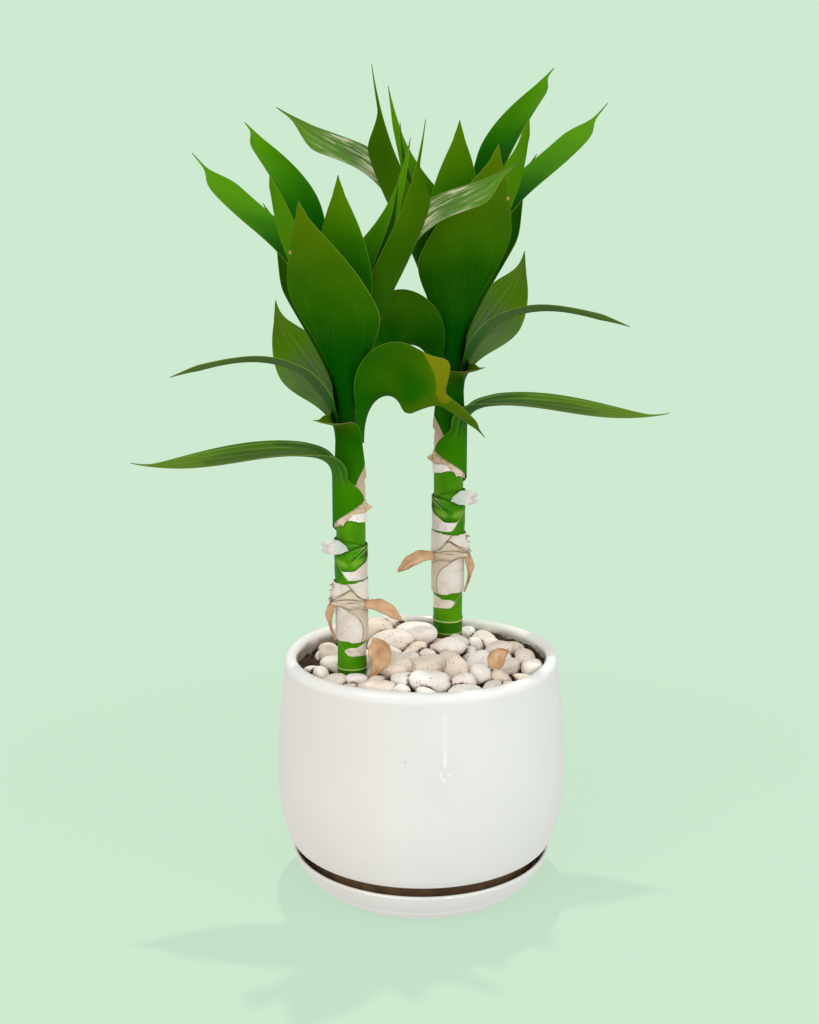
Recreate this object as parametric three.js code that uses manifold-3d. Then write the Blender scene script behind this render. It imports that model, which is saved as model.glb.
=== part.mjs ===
// Lucky bamboo: two leafy canes in a bed of pale pebbles, in a glazed pot that stands in its saucer.
// Millimetres, +Z up, +Y to the back. The origin is the middle of the saucer's flat foot.

import * as THREE from 'three';
import { mergeVertices } from 'three/addons/utils/BufferGeometryUtils.js';
import Module from 'manifold-3d';

const wasm = await Module();
wasm.setup();

const DEGREES = Math.PI / 180;

// Clearance between neighbouring pieces, and the facets of round ones
const GAP = 0.3;
const TURN_STEPS = 40;
const LIP_STEPS = 4;

// Pot: a turned bowl with a small drain hole. Its side and inside are [radius, height] from the foot up.
const POT_HEIGHT = 124;
const POT_FOOT_RADIUS = 60;
const POT_FLOOR_TOP = 13;
const POT_SIDE = [
  [61.5, 22], [66.5, 24], [69.3, 26], [71.2, 30.5], [73.7, 40],
  [75.5, 56], [75, 75], [73.6, 95], [71.6, 110],
];
const POT_INSIDE = [[56, 14], [64, 26], [69.5, 52], [69.3, 75], [65.5, 108]];
const LIP_RADIUS = 67.4;
const LIP_ROUND = 3.2;
const DRAIN_RADIUS = 6;

// Saucer: its side from the foot to the rim, and its inside from the rim to the floor
const SAUCER_FOOT_RADIUS = 52;
const SAUCER_FLOOR = 6;
const SAUCER_SIDE = [[54.8, 2], [58.5, 5], [62.4, 9], [66, 14], [68.4, 18.6], [67.6, 20]];
const SAUCER_INSIDE = [[66, 19.6], [63.4, 14.5], [61.6, SAUCER_FLOOR]];

// Soil fills the pot to SOIL_TOP, a little inside the wall.
const SOIL_TOP = 108;
const SOIL_SIDE = [[55.8, 14.3], [63.7, 26.2], [69.2, 52], [69, 75], [65.2, SOIL_TOP]];

// Canes: radius by height above the pebbles. They thin inside the low sheaths and at the growing point.
const CANE_RADIUS = 7.3;
const CANE_STEPS = 16;
const CANE_FOOT = 60;
const CANE_TOP = 176;
const CANE_SHAPE = [[0, CANE_RADIUS], [98, CANE_RADIUS], [112, 6], [132, 6], [CANE_TOP, 2.4]];
const NODE_RING = [[5.3, 0], [5.9, 0.35], [6.5, 0.35], [7, 0]];

// Blades and sheaths: their thickness, the step from one layer to the next, and their facets
const BLADE = 0.8;
const LAYER = BLADE + 3 * GAP;
const LEAF_STEPS = 10;
const LEAF_COLUMNS = 4;
const SHEATH_COLUMNS = 12;
const NECK_ANGLE = 1;

// Blades: half width along the spine and at the very tip, how the sides close, and the strip past a corner
const SPINE_HALF_WIDTH = 0.9;
const LEAST_HALF_WIDTH = 0.5;
const POINT_SHAPE = 1.2;
const STRIP_HALF_WIDTH = 3.5;
const CORNER_RUN = 0.09;

// Pebbles: how many the spiral tries, how far out it goes, and the thin bed that lies among them
const PEBBLE_COUNT = 92;
const PEBBLE_FIELD = 58;
const PEBBLE_ROOM = 64.4;
const PEBBLE_SIDES = 7;
const PEBBLE_RINGS = 4;
const BED_BOTTOM = SOIL_TOP + GAP;
const BED_TOP = SOIL_TOP + 7;
const SPIRAL_TURN = 137.5 * DEGREES;

// Where each cane stands, the pebbles' level round it, its size, and whether it is the mirror image
const plants = [
  { side: 'near', x: -35.3, y: -17.5, ground: 116, size: 1, mirror: 1 },
  { side: 'far', x: 15, y: 42, ground: 123.5, size: 1.09, mirror: -1 },
];

const finishes = {
  glaze: { color: 0xe8e8e2, roughness: 0.15 },
  soil: { color: 0x2e211a, roughness: 0.95 },
  pebble: { color: 0xe6dccd, roughness: 0.6 },
  cane: { color: 0x3f8a12, roughness: 0.45 },
  leaf: { color: 0x2f6b0c, roughness: 0.35 },
  husk: { color: 0xe9e2d6, roughness: 0.8 },
  dry: { color: 0xb98f6c, roughness: 0.85 },
};

// Leaves of one plant, from low to high, with the cane at the origin and the pebbles at height 0.
// face: the compass angle at which the leaf leaves the cane (0 is +X, 90 is the back)
// base, grip: the height of its foot on the cane, and how far up the cane it then runs
// rise, lean: length and tilt of the stretch that bends away from the cane
// tip, reach, dip, veer: where its point is, with the length and angles of the stretch that ends there
// width, widest, taper, spike: across the blade; where, along it; how late it narrows; the thin tip's share
// extra, later: how much wider than that its clockwise side is, and how much further along it is widest
// corner: where, if anywhere, the clockwise side ends in a corner and leaves a narrow strip
// clasp, sheath: half angle that the foot takes round the cane, and where, along the leaf, it lets go
// layer, slant: 1 where the foot lies over another's, and how much higher its one edge is there
// cup, bank, twist: half angle of the blade's hollow, its roll, and its further roll towards the tip
// crowd: above 1, more of the facets lie near the foot
const leafDefaults = {
  grip: 0, lean: 6, veer: 0, widest: 0.5, taper: 2, spike: 0.06, extra: 0, later: 0, corner: 1,
  clasp: 40, sheath: 0.1, layer: 0, slant: 0, cup: 22, bank: 0, twist: 0, crowd: 1,
};
const leaves = [
  { name: 'low_left', face: 190, base: 79, grip: 24, rise: 26, lean: 0, tip: [-107.9, -2, 110], reach: 32,
    dip: 14.6, width: 39, widest: 0.29, taper: 3, extra: 6, later: 0.17, clasp: 135, sheath: 0.2, layer: 1,
    slant: 13, cup: 14, bank: -1, twist: -9, crowd: 1.5 },
  { name: 'low_front', face: 266, base: 97, grip: 20, rise: 16, lean: 0, tip: [10, -54, 134], reach: 26,
    dip: -10, veer: 30, width: 28, widest: 0.66, clasp: 110, sheath: 0.25, slant: 6, cup: 12, crowd: 1.5 },
  { name: 'mid_left', face: 190, base: 114, rise: 45, lean: 0, tip: [-87.8, 1.7, 151.7], reach: 56, dip: -20,
    veer: -7, width: 19.6, widest: 0.29, taper: 1.05, extra: -8.3, later: -0.06, clasp: 33, cup: 6, bank: 20,
    twist: 27 },
  { name: 'mid_left_back', face: 110, base: 117, rise: 37, lean: 24, tip: [-38.7, 34, 187.8], reach: 30,
    dip: 84, width: 30, widest: 0.53, taper: 1.65, extra: -8.8, later: 0.15, cup: 25, bank: -31, twist: 3 },
  { name: 'right_curl', face: 331, base: 120, rise: 48.8, lean: 0, tip: [67.4, 20.8, 119.5], reach: 78,
    dip: -25, veer: 48, width: 47, widest: 0.85, taper: 3.7, extra: -6.5, later: -0.38, corner: 0.63,
    clasp: 32, cup: 14, bank: -75, twist: -11 },
  { name: 'big_front', face: 257, base: 126, rise: 69.6, lean: 0, tip: [-19.9, -41.8, 234.2], reach: 17,
    dip: 87, veer: -21, width: 46.4, widest: 0.35, taper: 1.22, later: 0.09, clasp: 34, cup: 10, bank: -14,
    twist: -1.6 },
  { name: 'dark_back', face: 100, base: 126, rise: 35, lean: 14, tip: [-44.6, 39.7, 235.7], reach: 60,
    dip: 54, veer: 6, width: 27, widest: 0.7, taper: 1.4, cup: 24, twist: -11 },
  { name: 'far_left', face: 149, base: 131, rise: 95, lean: 5, tip: [-79.8, 41, 260.5], reach: 68, dip: 49,
    veer: 9, width: 24, widest: 0.85, taper: 2.6, extra: -2.4, cup: 12, bank: -13, twist: 8 },
  { name: 'streaked', face: 38, base: 138, rise: 95, lean: 8, tip: [80.4, -14, 252.5], reach: 65, dip: 25,
    veer: -31, width: 26.7, widest: 0.64, taper: 1.15, extra: 2.2, later: 0.26, clasp: 32, cup: 15 },
  { name: 'right_up', face: 325, base: 139, rise: 65, lean: 8, tip: [36.5, -17, 271], reach: 56, dip: 82,
    width: 26.6, widest: 0.76, taper: 1.05, spike: 0.13, extra: -12.7, later: -0.33, clasp: 32, cup: 35,
    bank: -32, twist: 4 },
  { name: 'upper_left', face: 216, base: 143, rise: 72, lean: 7, tip: [-47.8, -3, 271.2], reach: 27, dip: 51,
    width: 30.7, widest: 0.85, taper: 1.4, extra: 4, later: -0.3, cup: 30, bank: -60 },
  { name: 'right_behind', face: 84, base: 150, rise: 45, lean: 10, tip: [29.6, 20.3, 265.9], reach: 73,
    dip: 80, width: 26, widest: 0.66, taper: 1.05, extra: -8.8, later: -0.17, cup: 41, bank: -15,
    twist: -15 },
  { name: 'middle', face: 272, base: 154, rise: 28, lean: 19, tip: [-3.5, -20, 246.3], reach: 20, dip: 89,
    width: 26, widest: 0.46, taper: 1.8, extra: -2.7, later: 0.08, cup: 15, bank: -14.5 },
  { name: 'left_inner', face: 132, base: 159, rise: 49, tip: [-38, 12, 251.4], reach: 32, dip: 83,
    width: 20, extra: -8, widest: 0.45, taper: 1.7, cup: 26, bank: -60 },
  { name: 'inner_small', face: 345, base: 160, rise: 30, tip: [23.8, 2.2, 247.3], reach: 40, dip: 88,
    width: 16, cup: 30 },
];

// Old sheaths that still hold on to the cane, each a strip round it.
// from, to: the compass angles of its ends; low, high: heights of its edges, with lowSlant and highSlant
// more or less at the ends; layer: 1 over another's; flare: how far its top stands off; ragged: its tears
const wrapDefaults = { layer: 0, lowSlant: 0, highSlant: 0, flare: 0, ragged: 0, columns: 12, rows: 2 };
const wraps = [
  { name: 'cream_sheath', finish: 'husk', from: 95, to: 435, low: 21, high: 47, highSlant: 1, ragged: 0.6 },
  { name: 'green_sheath', finish: 'cane', from: -50, to: 290, low: 49.5, high: 69, ragged: 0.6 },
  { name: 'husk_collar', finish: 'husk', from: 150, to: 470, low: 37, high: 50, layer: 1, lowSlant: 2,
    flare: 1.6, ragged: 1.6 },
  { name: 'papery_band', finish: 'husk', from: 196, to: 326, low: 76, high: 82.4, lowSlant: 3.4,
    highSlant: 4.2, ragged: 0.5, columns: 8 },
];

// Dry scraps, each a strip along a cubic path, curled across its width.
// path: its four control points; wide: its width; curl: how far its edges rise; normal: its upper side
const SCRAP_STEPS = 5;
const scraps = [
  { name: 'dry_scrap_long', finish: 'dry', wide: 7, curl: 1.6, normal: [0.2, -0.8, 0.6],
    path: [[10.4, -4, 39], [13, -8, 42], [18, -9, 36], [26, -8, 32]] },
  { name: 'dry_scrap_short', finish: 'dry', wide: 5, curl: 1, normal: [-1, -0.3, 0],
    path: [[-10.4, -3, 38], [-12.4, -4, 36], [-12.6, -5, 31], [-10.6, -6, 25]] },
  { name: 'papery_tuft', finish: 'husk', wide: 7, curl: 1.2, normal: [-0.3, -0.9, 0.2],
    path: [[-4.6, -7.7, 66], [-8, -9.4, 69], [-12, -7, 68], [-14, -5, 67]] },
];
const fallenLeaves = [
  { name: 'fallen_leaf_left', finish: 'dry', wide: 13, curl: 2.5, normal: [0.3, -1, 0.1],
    path: [[-27, -25, 135.4], [-22, -28, 132.4], [-21, -27, 128.4], [-26, -27, 120.4]] },
  { name: 'fallen_leaf_right', finish: 'dry', wide: 9, curl: 2, normal: [-0.5, -1, 0.2],
    path: [[44, -20, 130], [39, -22, 129], [37, -22, 126], [38, -23, 121]] },
];

// The pebbles that catch the eye: [x, y, z, length, width, height, turn]
const markedPebbles = [
  [3, -36, 117.5, 21, 16, 13, 4],
  [-22, -41, 116, 20, 13, 9, -6],
  [-1, -15, 118.5, 22, 15, 11, -5],
  [18, -23, 119.5, 9, 12, 15, 80],
  [29, -25, 118, 13, 13, 12, 20],
  [21, -44, 116, 17, 12, 8, -10],
  [14, 8, 121, 19, 12, 10, 28],
  [-10, 30, 123, 22, 15, 12, -35],
  [8, 14, 119, 15, 11, 9, 60],
];

function smooth(t) {
  const s = Math.min(Math.max(t, 0), 1);
  return s * s * (3 - 2 * s);
}

function named(name, geometry, finish) {
  const material = new THREE.MeshStandardMaterial({ ...finishes[finish], metalness: 0 });
  const mesh = new THREE.Mesh(geometry, material);
  mesh.name = name;
  return mesh;
}

// A surface turned about the Z axis from an outline of [radius, height] points
function turned(outline, steps = TURN_STEPS) {
  const points = outline.map(([radius, height]) => new THREE.Vector2(radius, height));
  return new THREE.LatheGeometry(points, steps).rotateX(Math.PI / 2);
}

function toSolid(geometry) {
  const bare = geometry.clone();
  bare.deleteAttribute('normal');
  bare.deleteAttribute('uv');
  const merged = mergeVertices(bare, 1e-4);
  const triVerts = new Uint32Array(merged.index.array);
  const vertProperties = new Float32Array(merged.attributes.position.array);
  const mesh = new wasm.Mesh({ numProp: 3, vertProperties, triVerts });
  mesh.merge();
  return new wasm.Manifold(mesh);
}

function toGeometry(solid) {
  const mesh = solid.getMesh();
  const geometry = new THREE.BufferGeometry();
  geometry.setAttribute('position', new THREE.BufferAttribute(mesh.vertProperties, 3));
  geometry.setIndex(new THREE.BufferAttribute(mesh.triVerts, 1));
  geometry.computeVertexNormals();
  return geometry;
}

// The largest closed body of a solid: sealed hollows are filled and loose scraps dropped.
function largestBody(solid) {
  return solid.decompose().sort((a, b) => b.volume() - a.volume())[0];
}

// A thin sheet: place(u, v) gives its middle surface for u in 0..1 and v in -1..1.
function sheet(place, uSteps, vSteps, mirror = 1) {
  const columns = vSteps + 1;
  const middle = [];
  for (let i = 0; i <= uSteps; i += 1) {
    for (let j = 0; j <= vSteps; j += 1) {
      middle.push(place(i / uSteps, -1 + (2 * j) / vSteps));
    }
  }
  const at = (i, j) => middle[i * columns + j];
  const positions = [];
  for (const level of [-BLADE / 2, BLADE / 2]) {
    for (let i = 0; i <= uSteps; i += 1) {
      for (let j = 0; j <= vSteps; j += 1) {
        const along = at(Math.min(i + 1, uSteps), j).clone().sub(at(Math.max(i - 1, 0), j));
        const across = at(i, Math.min(j + 1, vSteps)).clone().sub(at(i, Math.max(j - 1, 0)));
        const normal = along.cross(across).normalize();
        const point = at(i, j).clone().addScaledVector(normal, level);
        positions.push(point.x * mirror, point.y, point.z);
      }
    }
  }
  const index = [];
  const corner = (level, i, j) => level * middle.length + i * columns + j;
  const triangle = (a, b, c) => (mirror < 0 ? index.push(a, c, b) : index.push(a, b, c));
  const quad = (a, b, c, d) => {
    triangle(a, b, c);
    triangle(a, c, d);
  };
  for (let i = 0; i < uSteps; i += 1) {
    for (let j = 0; j < vSteps; j += 1) {
      quad(corner(1, i, j), corner(1, i + 1, j), corner(1, i + 1, j + 1), corner(1, i, j + 1));
      triangle(corner(0, i, j), corner(0, i + 1, j + 1), corner(0, i + 1, j));
      triangle(corner(0, i, j), corner(0, i, j + 1), corner(0, i + 1, j + 1));
    }
    quad(corner(0, i, 0), corner(0, i + 1, 0), corner(1, i + 1, 0), corner(1, i, 0));
    quad(corner(1, i, vSteps), corner(1, i + 1, vSteps), corner(0, i + 1, vSteps), corner(0, i, vSteps));
  }
  for (let j = 0; j < vSteps; j += 1) {
    quad(corner(1, 0, j), corner(1, 0, j + 1), corner(0, 0, j + 1), corner(0, 0, j));
    quad(corner(0, uSteps, j), corner(0, uSteps, j + 1), corner(1, uSteps, j + 1), corner(1, uSteps, j));
  }
  const geometry = new THREE.BufferGeometry();
  geometry.setAttribute('position', new THREE.Float32BufferAttribute(positions, 3));
  geometry.setIndex(index);
  geometry.computeVertexNormals();
  return geometry;
}

function caneRadius(height) {
  const next = Math.max(CANE_SHAPE.findIndex(([station]) => station >= height), 1);
  const [lowAt, lowRadius] = CANE_SHAPE[next - 1];
  const [highAt, highRadius] = CANE_SHAPE[next];
  return lowRadius + ((highRadius - lowRadius) * (height - lowAt)) / (highAt - lowAt);
}

function direction(heading, climb) {
  const level = Math.cos(climb);
  return new THREE.Vector3(level * Math.cos(heading), level * Math.sin(heading), Math.sin(climb));
}

// The line of a leaf's midrib: straight up the cane for its grip, then a cubic curve to its point
function midrib(leaf, footRadius) {
  const foot = direction(leaf.face * DEGREES, 0).multiplyScalar(footRadius).setZ(leaf.base);
  const bendsAt = foot.clone().setZ(leaf.base + leaf.grip);
  const tip = new THREE.Vector3(...leaf.tip);
  const start = direction(leaf.face * DEGREES, (90 - leaf.lean) * DEGREES);
  const bearing = Math.atan2(tip.y - foot.y, tip.x - foot.x) + leaf.veer * DEGREES;
  const end = direction(bearing, leaf.dip * DEGREES);
  const startPull = bendsAt.clone().addScaledVector(start, leaf.rise);
  const endPull = tip.clone().addScaledVector(end, -leaf.reach);
  const curve = new THREE.CubicBezierCurve3(bendsAt, startPull, endPull, tip);
  const gripShare = leaf.grip / (leaf.grip + bendsAt.distanceTo(tip));
  const onCurve = (u) => (u - gripShare) / (1 - gripShare);
  return {
    point: (u) => (onCurve(u) < 0 ? foot.clone().lerp(bendsAt, u / gripShare) : curve.getPoint(onCurve(u))),
    tangent: (u) => (onCurve(u) < 0 ? new THREE.Vector3(0, 0, 1) : curve.getTangent(onCurve(u))),
  };
}

// The middle surface of a leaf. Across its midrib lies an arc, which hugs the cane at the foot and opens
// to a shallow hollow along the blade.
function leafSurface(given) {
  const leaf = { ...leafDefaults, ...given };
  const footRadius = caneRadius(leaf.base) + GAP + BLADE / 2 + leaf.layer * LAYER;
  const rib = midrib(leaf, footRadius);
  const sideways = direction((leaf.face + 90) * DEGREES, 0);
  const clasp = leaf.clasp * DEGREES;
  const neck = Math.min(clasp, NECK_ANGLE);
  const cup = leaf.cup * DEGREES;
  const letGo = leaf.sheath * 0.6;
  const spikeStart = 1 - leaf.spike;
  const hugging = clasp > Math.PI / 2;

  const halfWidth = (u, footHalf, clockwise) => {
    const half = (leaf.width + (clockwise ? leaf.extra : 0)) / 2;
    const widest = leaf.widest + (clockwise ? leaf.later : 0);
    const opening = footHalf + (half - footHalf) * smooth((u - letGo) / (widest - letGo));
    const narrowing = Math.min((u - widest) / (spikeStart - widest), 1) ** leaf.taper;
    const blade = u < widest ? opening : half * (1 - narrowing) ** POINT_SHAPE;
    const spine = SPINE_HALF_WIDTH * Math.min(Math.sqrt((1 - u) / leaf.spike), 1);
    const side = Math.max(blade, spine, LEAST_HALF_WIDTH);
    const strip = clockwise ? smooth((u - leaf.corner) / CORNER_RUN) : 0;
    return side + (Math.min(side, STRIP_HALF_WIDTH) - side) * strip;
  };

  return (share, v) => {
    const u = share ** leaf.crowd;
    const tangent = rib.tangent(u);
    const side = sideways.clone().addScaledVector(tangent, -sideways.dot(tangent)).normalize();
    const inward = tangent.clone().cross(side);
    const roll = (leaf.bank * smooth(u / 0.5) + leaf.twist * smooth((u - 0.45) / 0.55)) * DEGREES;
    const across = side.clone().multiplyScalar(Math.cos(roll)).addScaledVector(inward, Math.sin(roll));
    const hollow = inward.clone().multiplyScalar(Math.cos(roll)).addScaledVector(side, -Math.sin(roll));
    const release = hugging ? Math.min(u / leaf.sheath, 1) : smooth(u / leaf.sheath);
    const hold = clasp + (neck - clasp) * release;
    const bend = hold + (cup - hold) * smooth((u - letGo) / 0.3);
    const radius = halfWidth(u, hold * footRadius, v < 0) / bend;
    const point = rib.point(u);
    point.addScaledVector(across, radius * Math.sin(v * bend));
    point.addScaledVector(hollow, radius * (1 - Math.cos(v * bend)));
    point.z += leaf.slant * v * (1 - smooth(u / 0.25));
    return point;
  };
}

function wrapSurface(wrap) {
  return (u, v) => {
    const angle = (wrap.from + ((wrap.to - wrap.from) * (v + 1)) / 2) * DEGREES;
    const tear = wrap.ragged * Math.sin(11 * v + 1);
    const bottom = wrap.low + wrap.lowSlant * v + tear;
    const top = wrap.high + wrap.highSlant * v - 0.5 * tear;
    const radius = caneRadius(wrap.low) + GAP + BLADE / 2 + wrap.layer * LAYER + wrap.flare * u * u;
    return new THREE.Vector3(radius * Math.cos(angle), radius * Math.sin(angle), bottom + (top - bottom) * u);
  };
}

function scrapSurface({ path, wide, curl, normal }) {
  const curve = new THREE.CubicBezierCurve3(...path.map((point) => new THREE.Vector3(...point)));
  const upper = new THREE.Vector3(...normal);
  return (u, v) => {
    const tangent = curve.getTangent(u);
    const across = upper.clone().cross(tangent).normalize();
    const lift = tangent.clone().cross(across);
    const half = (wide / 2) * (0.35 + 0.65 * Math.sin(Math.PI * (0.12 + 0.78 * u)));
    const point = curve.getPoint(u);
    point.addScaledVector(across, half * v);
    return point.addScaledVector(lift, curl * v * v * Math.sin(Math.PI * u * 0.9 + 0.2));
  };
}

function makeSaucer() {
  const outline = [[0, 0], [SAUCER_FOOT_RADIUS, 0], ...SAUCER_SIDE, ...SAUCER_INSIDE, [0, SAUCER_FLOOR]];
  return named('saucer', turned(outline), 'glaze');
}

function makePot() {
  const foot = SAUCER_FLOOR + GAP;
  const lip = [];
  for (let k = 0; k <= LIP_STEPS; k += 1) {
    const angle = (k / LIP_STEPS) * Math.PI;
    const height = POT_HEIGHT - LIP_ROUND + LIP_ROUND * Math.sin(angle);
    lip.push([LIP_RADIUS + LIP_ROUND * Math.cos(angle), height]);
  }
  const inside = [...POT_INSIDE].reverse();
  const outline = [[DRAIN_RADIUS, foot], [POT_FOOT_RADIUS, foot], ...POT_SIDE, ...lip, ...inside];
  outline.push([DRAIN_RADIUS, POT_FLOOR_TOP], [DRAIN_RADIUS, foot]);
  return named('pot', turned(outline), 'glaze');
}

function caneHole({ x, y, size }, from, to) {
  const radius = CANE_RADIUS * size + 2 * GAP;
  const hole = new THREE.CylinderGeometry(radius, radius, to - from, CANE_STEPS).rotateX(Math.PI / 2);
  return toSolid(hole.translate(x, y, (from + to) / 2));
}

function makeSoil() {
  let soil = toSolid(turned([[0, POT_FLOOR_TOP + GAP], ...SOIL_SIDE, [0, SOIL_TOP]]));
  for (const plant of plants) {
    soil = soil.subtract(caneHole(plant, CANE_FOOT - GAP, SOIL_TOP + 1));
  }
  return named('soil', toGeometry(soil), 'soil');
}

// The pebbles' middle height: a low dome with a heap towards the back left
function bedLevel(x, y) {
  const heap = Math.exp(-((x + 8) ** 2 + (y - 36) ** 2) / 1000);
  return 114 + 3 * (1 - (x * x + y * y) / 4000) + 4 * heap;
}

// The marked pebbles, then the rest along a spiral with seeded changes, where there is room for them
function placePebbles() {
  let seed = 11;
  const random = (low, high) => {
    seed = (Math.imul(seed, 1664525) + 1013904223) >>> 0;
    return low + ((high - low) * seed) / 2 ** 32;
  };
  const placed = [...markedPebbles];
  for (let i = 0; i < PEBBLE_COUNT; i += 1) {
    const away = PEBBLE_FIELD * Math.sqrt((i + 0.5) / PEBBLE_COUNT);
    const x = away * Math.cos(i * SPIRAL_TURN) + random(-2, 2);
    const y = away * Math.sin(i * SPIRAL_TURN) + random(-2, 2);
    const length = random(12, 18);
    const width = length * random(0.7, 0.9);
    const height = length * random(0.55, 0.75);
    const z = Math.max(bedLevel(x, y) + random(-1.5, 1), BED_BOTTOM + height / 2);
    const turn = random(0, 180);
    const apart = ([a, b, , l, w]) => Math.hypot(x - a, y - b) > 0.2 * (l + w + length + width) - 3;
    const besideCane = (plant) => Math.hypot(x - plant.x, y - plant.y) > CANE_RADIUS + width / 2;
    const insidePot = Math.hypot(x, y) + length / 2 < PEBBLE_ROOM;
    if (placed.every(apart) && plants.every(besideCane) && insidePot) {
      placed.push([x, y, z, length, width, height, turn]);
    }
  }
  return placed;
}

function makePebbleBed() {
  const bed = [[0, BED_BOTTOM], [PEBBLE_ROOM, BED_BOTTOM], [PEBBLE_ROOM, BED_TOP], [0, BED_TOP]];
  let pebbles = toSolid(turned(bed));
  for (const [x, y, z, length, width, height, turn] of placePebbles()) {
    const pebble = new THREE.SphereGeometry(0.5, PEBBLE_SIDES, PEBBLE_RINGS).rotateX(Math.PI / 2);
    pebble.scale(length, width, height).rotateZ(turn * DEGREES).translate(x, y, z);
    pebbles = pebbles.add(toSolid(pebble));
  }
  for (const plant of plants) {
    pebbles = pebbles.subtract(caneHole(plant, SOIL_TOP - 1, POT_HEIGHT + 10));
  }
  return named('pebble_bed', toGeometry(largestBody(pebbles)), 'pebble');
}

function makePlant(plant) {
  const group = new THREE.Group();
  group.position.set(plant.x, plant.y, plant.ground);
  group.scale.setScalar(plant.size);
  const add = (name, geometry, finish) => group.add(named(`${name}_${plant.side}`, geometry, finish));

  const foot = (CANE_FOOT - plant.ground) / plant.size;
  const ring = NODE_RING.map(([height, out]) => [CANE_RADIUS + out, height]);
  const shaft = CANE_SHAPE.slice(1).map(([height, radius]) => [radius, height]);
  const outline = [[0, foot], [CANE_RADIUS, foot], ...ring, ...shaft, [0, CANE_TOP]];
  add('cane', turned(outline, CANE_STEPS), 'cane');

  for (const given of wraps) {
    const wrap = { ...wrapDefaults, ...given };
    add(wrap.name, sheet(wrapSurface(wrap), wrap.rows, wrap.columns, plant.mirror), wrap.finish);
  }
  for (const scrap of scraps) {
    add(scrap.name, sheet(scrapSurface(scrap), SCRAP_STEPS, 2, plant.mirror), scrap.finish);
  }
  for (const leaf of leaves) {
    const columns = leaf.clasp > 90 ? SHEATH_COLUMNS : LEAF_COLUMNS;
    add(`leaf_${leaf.name}`, sheet(leafSurface(leaf), LEAF_STEPS, columns, plant.mirror), 'leaf');
  }
  return group;
}

const bamboo = new THREE.Group();
bamboo.add(makeSaucer(), makePot(), makeSoil(), makePebbleBed());
for (const scrap of fallenLeaves) {
  bamboo.add(named(scrap.name, sheet(scrapSurface(scrap), SCRAP_STEPS, 4), scrap.finish));
}
for (const plant of plants) {
  bamboo.add(makePlant(plant));
}

export default bamboo;
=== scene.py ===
"""Lucky bamboo: two leafy canes in pale pebbles, in a glazed pot that stands in its saucer.

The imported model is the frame: +Z up, +Y to the back, and the origin in the middle of the saucer's foot.
Shapes are worked out in millimetres and put into Blender in metres.
"""

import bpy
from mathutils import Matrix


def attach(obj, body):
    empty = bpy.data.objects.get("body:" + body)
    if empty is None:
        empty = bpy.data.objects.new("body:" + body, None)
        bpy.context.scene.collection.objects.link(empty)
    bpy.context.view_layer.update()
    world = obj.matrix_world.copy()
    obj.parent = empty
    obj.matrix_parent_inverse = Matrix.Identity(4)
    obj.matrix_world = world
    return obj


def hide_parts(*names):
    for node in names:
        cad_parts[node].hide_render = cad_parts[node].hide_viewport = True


bl_info = {
    "name": "Lucky Bamboo",
    "version": (1, 0, 0),
    "blender": (4, 5, 0),
    "location": "3D View > Sidebar > Bamboo",
    "description": "Fine leaves, sheaths, pebbles and glaze over the packed model of a potted lucky bamboo",
    "category": "Object",
}

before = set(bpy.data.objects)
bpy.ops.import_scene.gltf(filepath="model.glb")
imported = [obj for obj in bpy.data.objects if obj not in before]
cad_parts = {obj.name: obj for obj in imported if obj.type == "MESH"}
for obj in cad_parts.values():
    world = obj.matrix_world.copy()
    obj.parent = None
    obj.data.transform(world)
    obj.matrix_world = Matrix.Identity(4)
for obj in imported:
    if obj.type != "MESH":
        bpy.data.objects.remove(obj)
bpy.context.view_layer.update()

import math
from dataclasses import dataclass

import bpy
import numpy as np
from mathutils import Vector

MM = 0.001

# Clearances and thicknesses that the solids have, in mm
GAP = 0.3
CAD_BLADE = 0.8
LAYER = 0.8

# Outlines of the pot, the saucer and the soil: radius and height in mm
DRAIN_RADIUS = 6.0
FOOT_HEIGHT = 6.3
FLOOR_TOP = 13.0
POT_FOOT = (59.6, 6.3)
POT_STEP = [(60.0, 6.7), (61.2, 16.0), (61.7, 21.6)]
POT_EDGE = [(62.6, 22.6), (66.4, 24.0), (68.4, 25.0), (69.6, 26.8)]
POT_SIDE = [(71.2, 30.5), (73.7, 40.0), (75.2, 52.0), (75.5, 62.0), (75.0, 76.0), (73.7, 95.0), (71.8, 110.0)]
POT_INSIDE = [(65.5, 108.0), (69.1, 76.0), (69.4, 52.0), (64.0, 26.0), (56.0, 14.0)]
LIP_RADIUS = 67.4
LIP_ROUND = 3.2
LIP_HEIGHT = 120.8
SAUCER_SIDE = [(51.0, 0.0), (52.6, 0.5), (55.0, 2.2), (58.5, 5.2), (62.4, 9.2), (66.0, 14.0), (68.2, 18.4)]
SAUCER_LIP = [(68.4, 19.2), (67.8, 19.95), (66.8, 19.9), (65.9, 18.8)]
SAUCER_INSIDE = [(63.6, 14.5), (61.8, 8.6), (60.4, 6.4), (58.0, 6.0)]
SOIL_FOOT = 13.5
SOIL_TOP = 108.0
SOIL_SIDE = [(46.0, SOIL_FOOT), (55.8, 14.3), (63.7, 26.2), (69.2, 52.0), (69.0, 75.0), (65.2, 107.6)]

# Marks in the glaze: the run's compass angle, its drop's height and its top's; the pinhole's x and height
GLAZE_RUN = (278.4, 85.8, 116.5)
RUN_RADIUS = LIP_RADIUS * 1.09
PINHOLE = (-8.1, 92.0)
GLAZE_ROUGHNESS = 0.08

# The cane's radius in mm by height above the pebbles; its foot is a height above the saucer's foot
CANE_RADIUS = 7.3
CANE_FOOT = 60.0
CANE_TOP = 176.0
CANE_HEIGHTS = (0.0, 98.0, 112.0, 132.0, CANE_TOP)
CANE_RADII = (CANE_RADIUS, CANE_RADIUS, 6.0, 6.0, 2.4)
NODE_RING = 6.2

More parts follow.
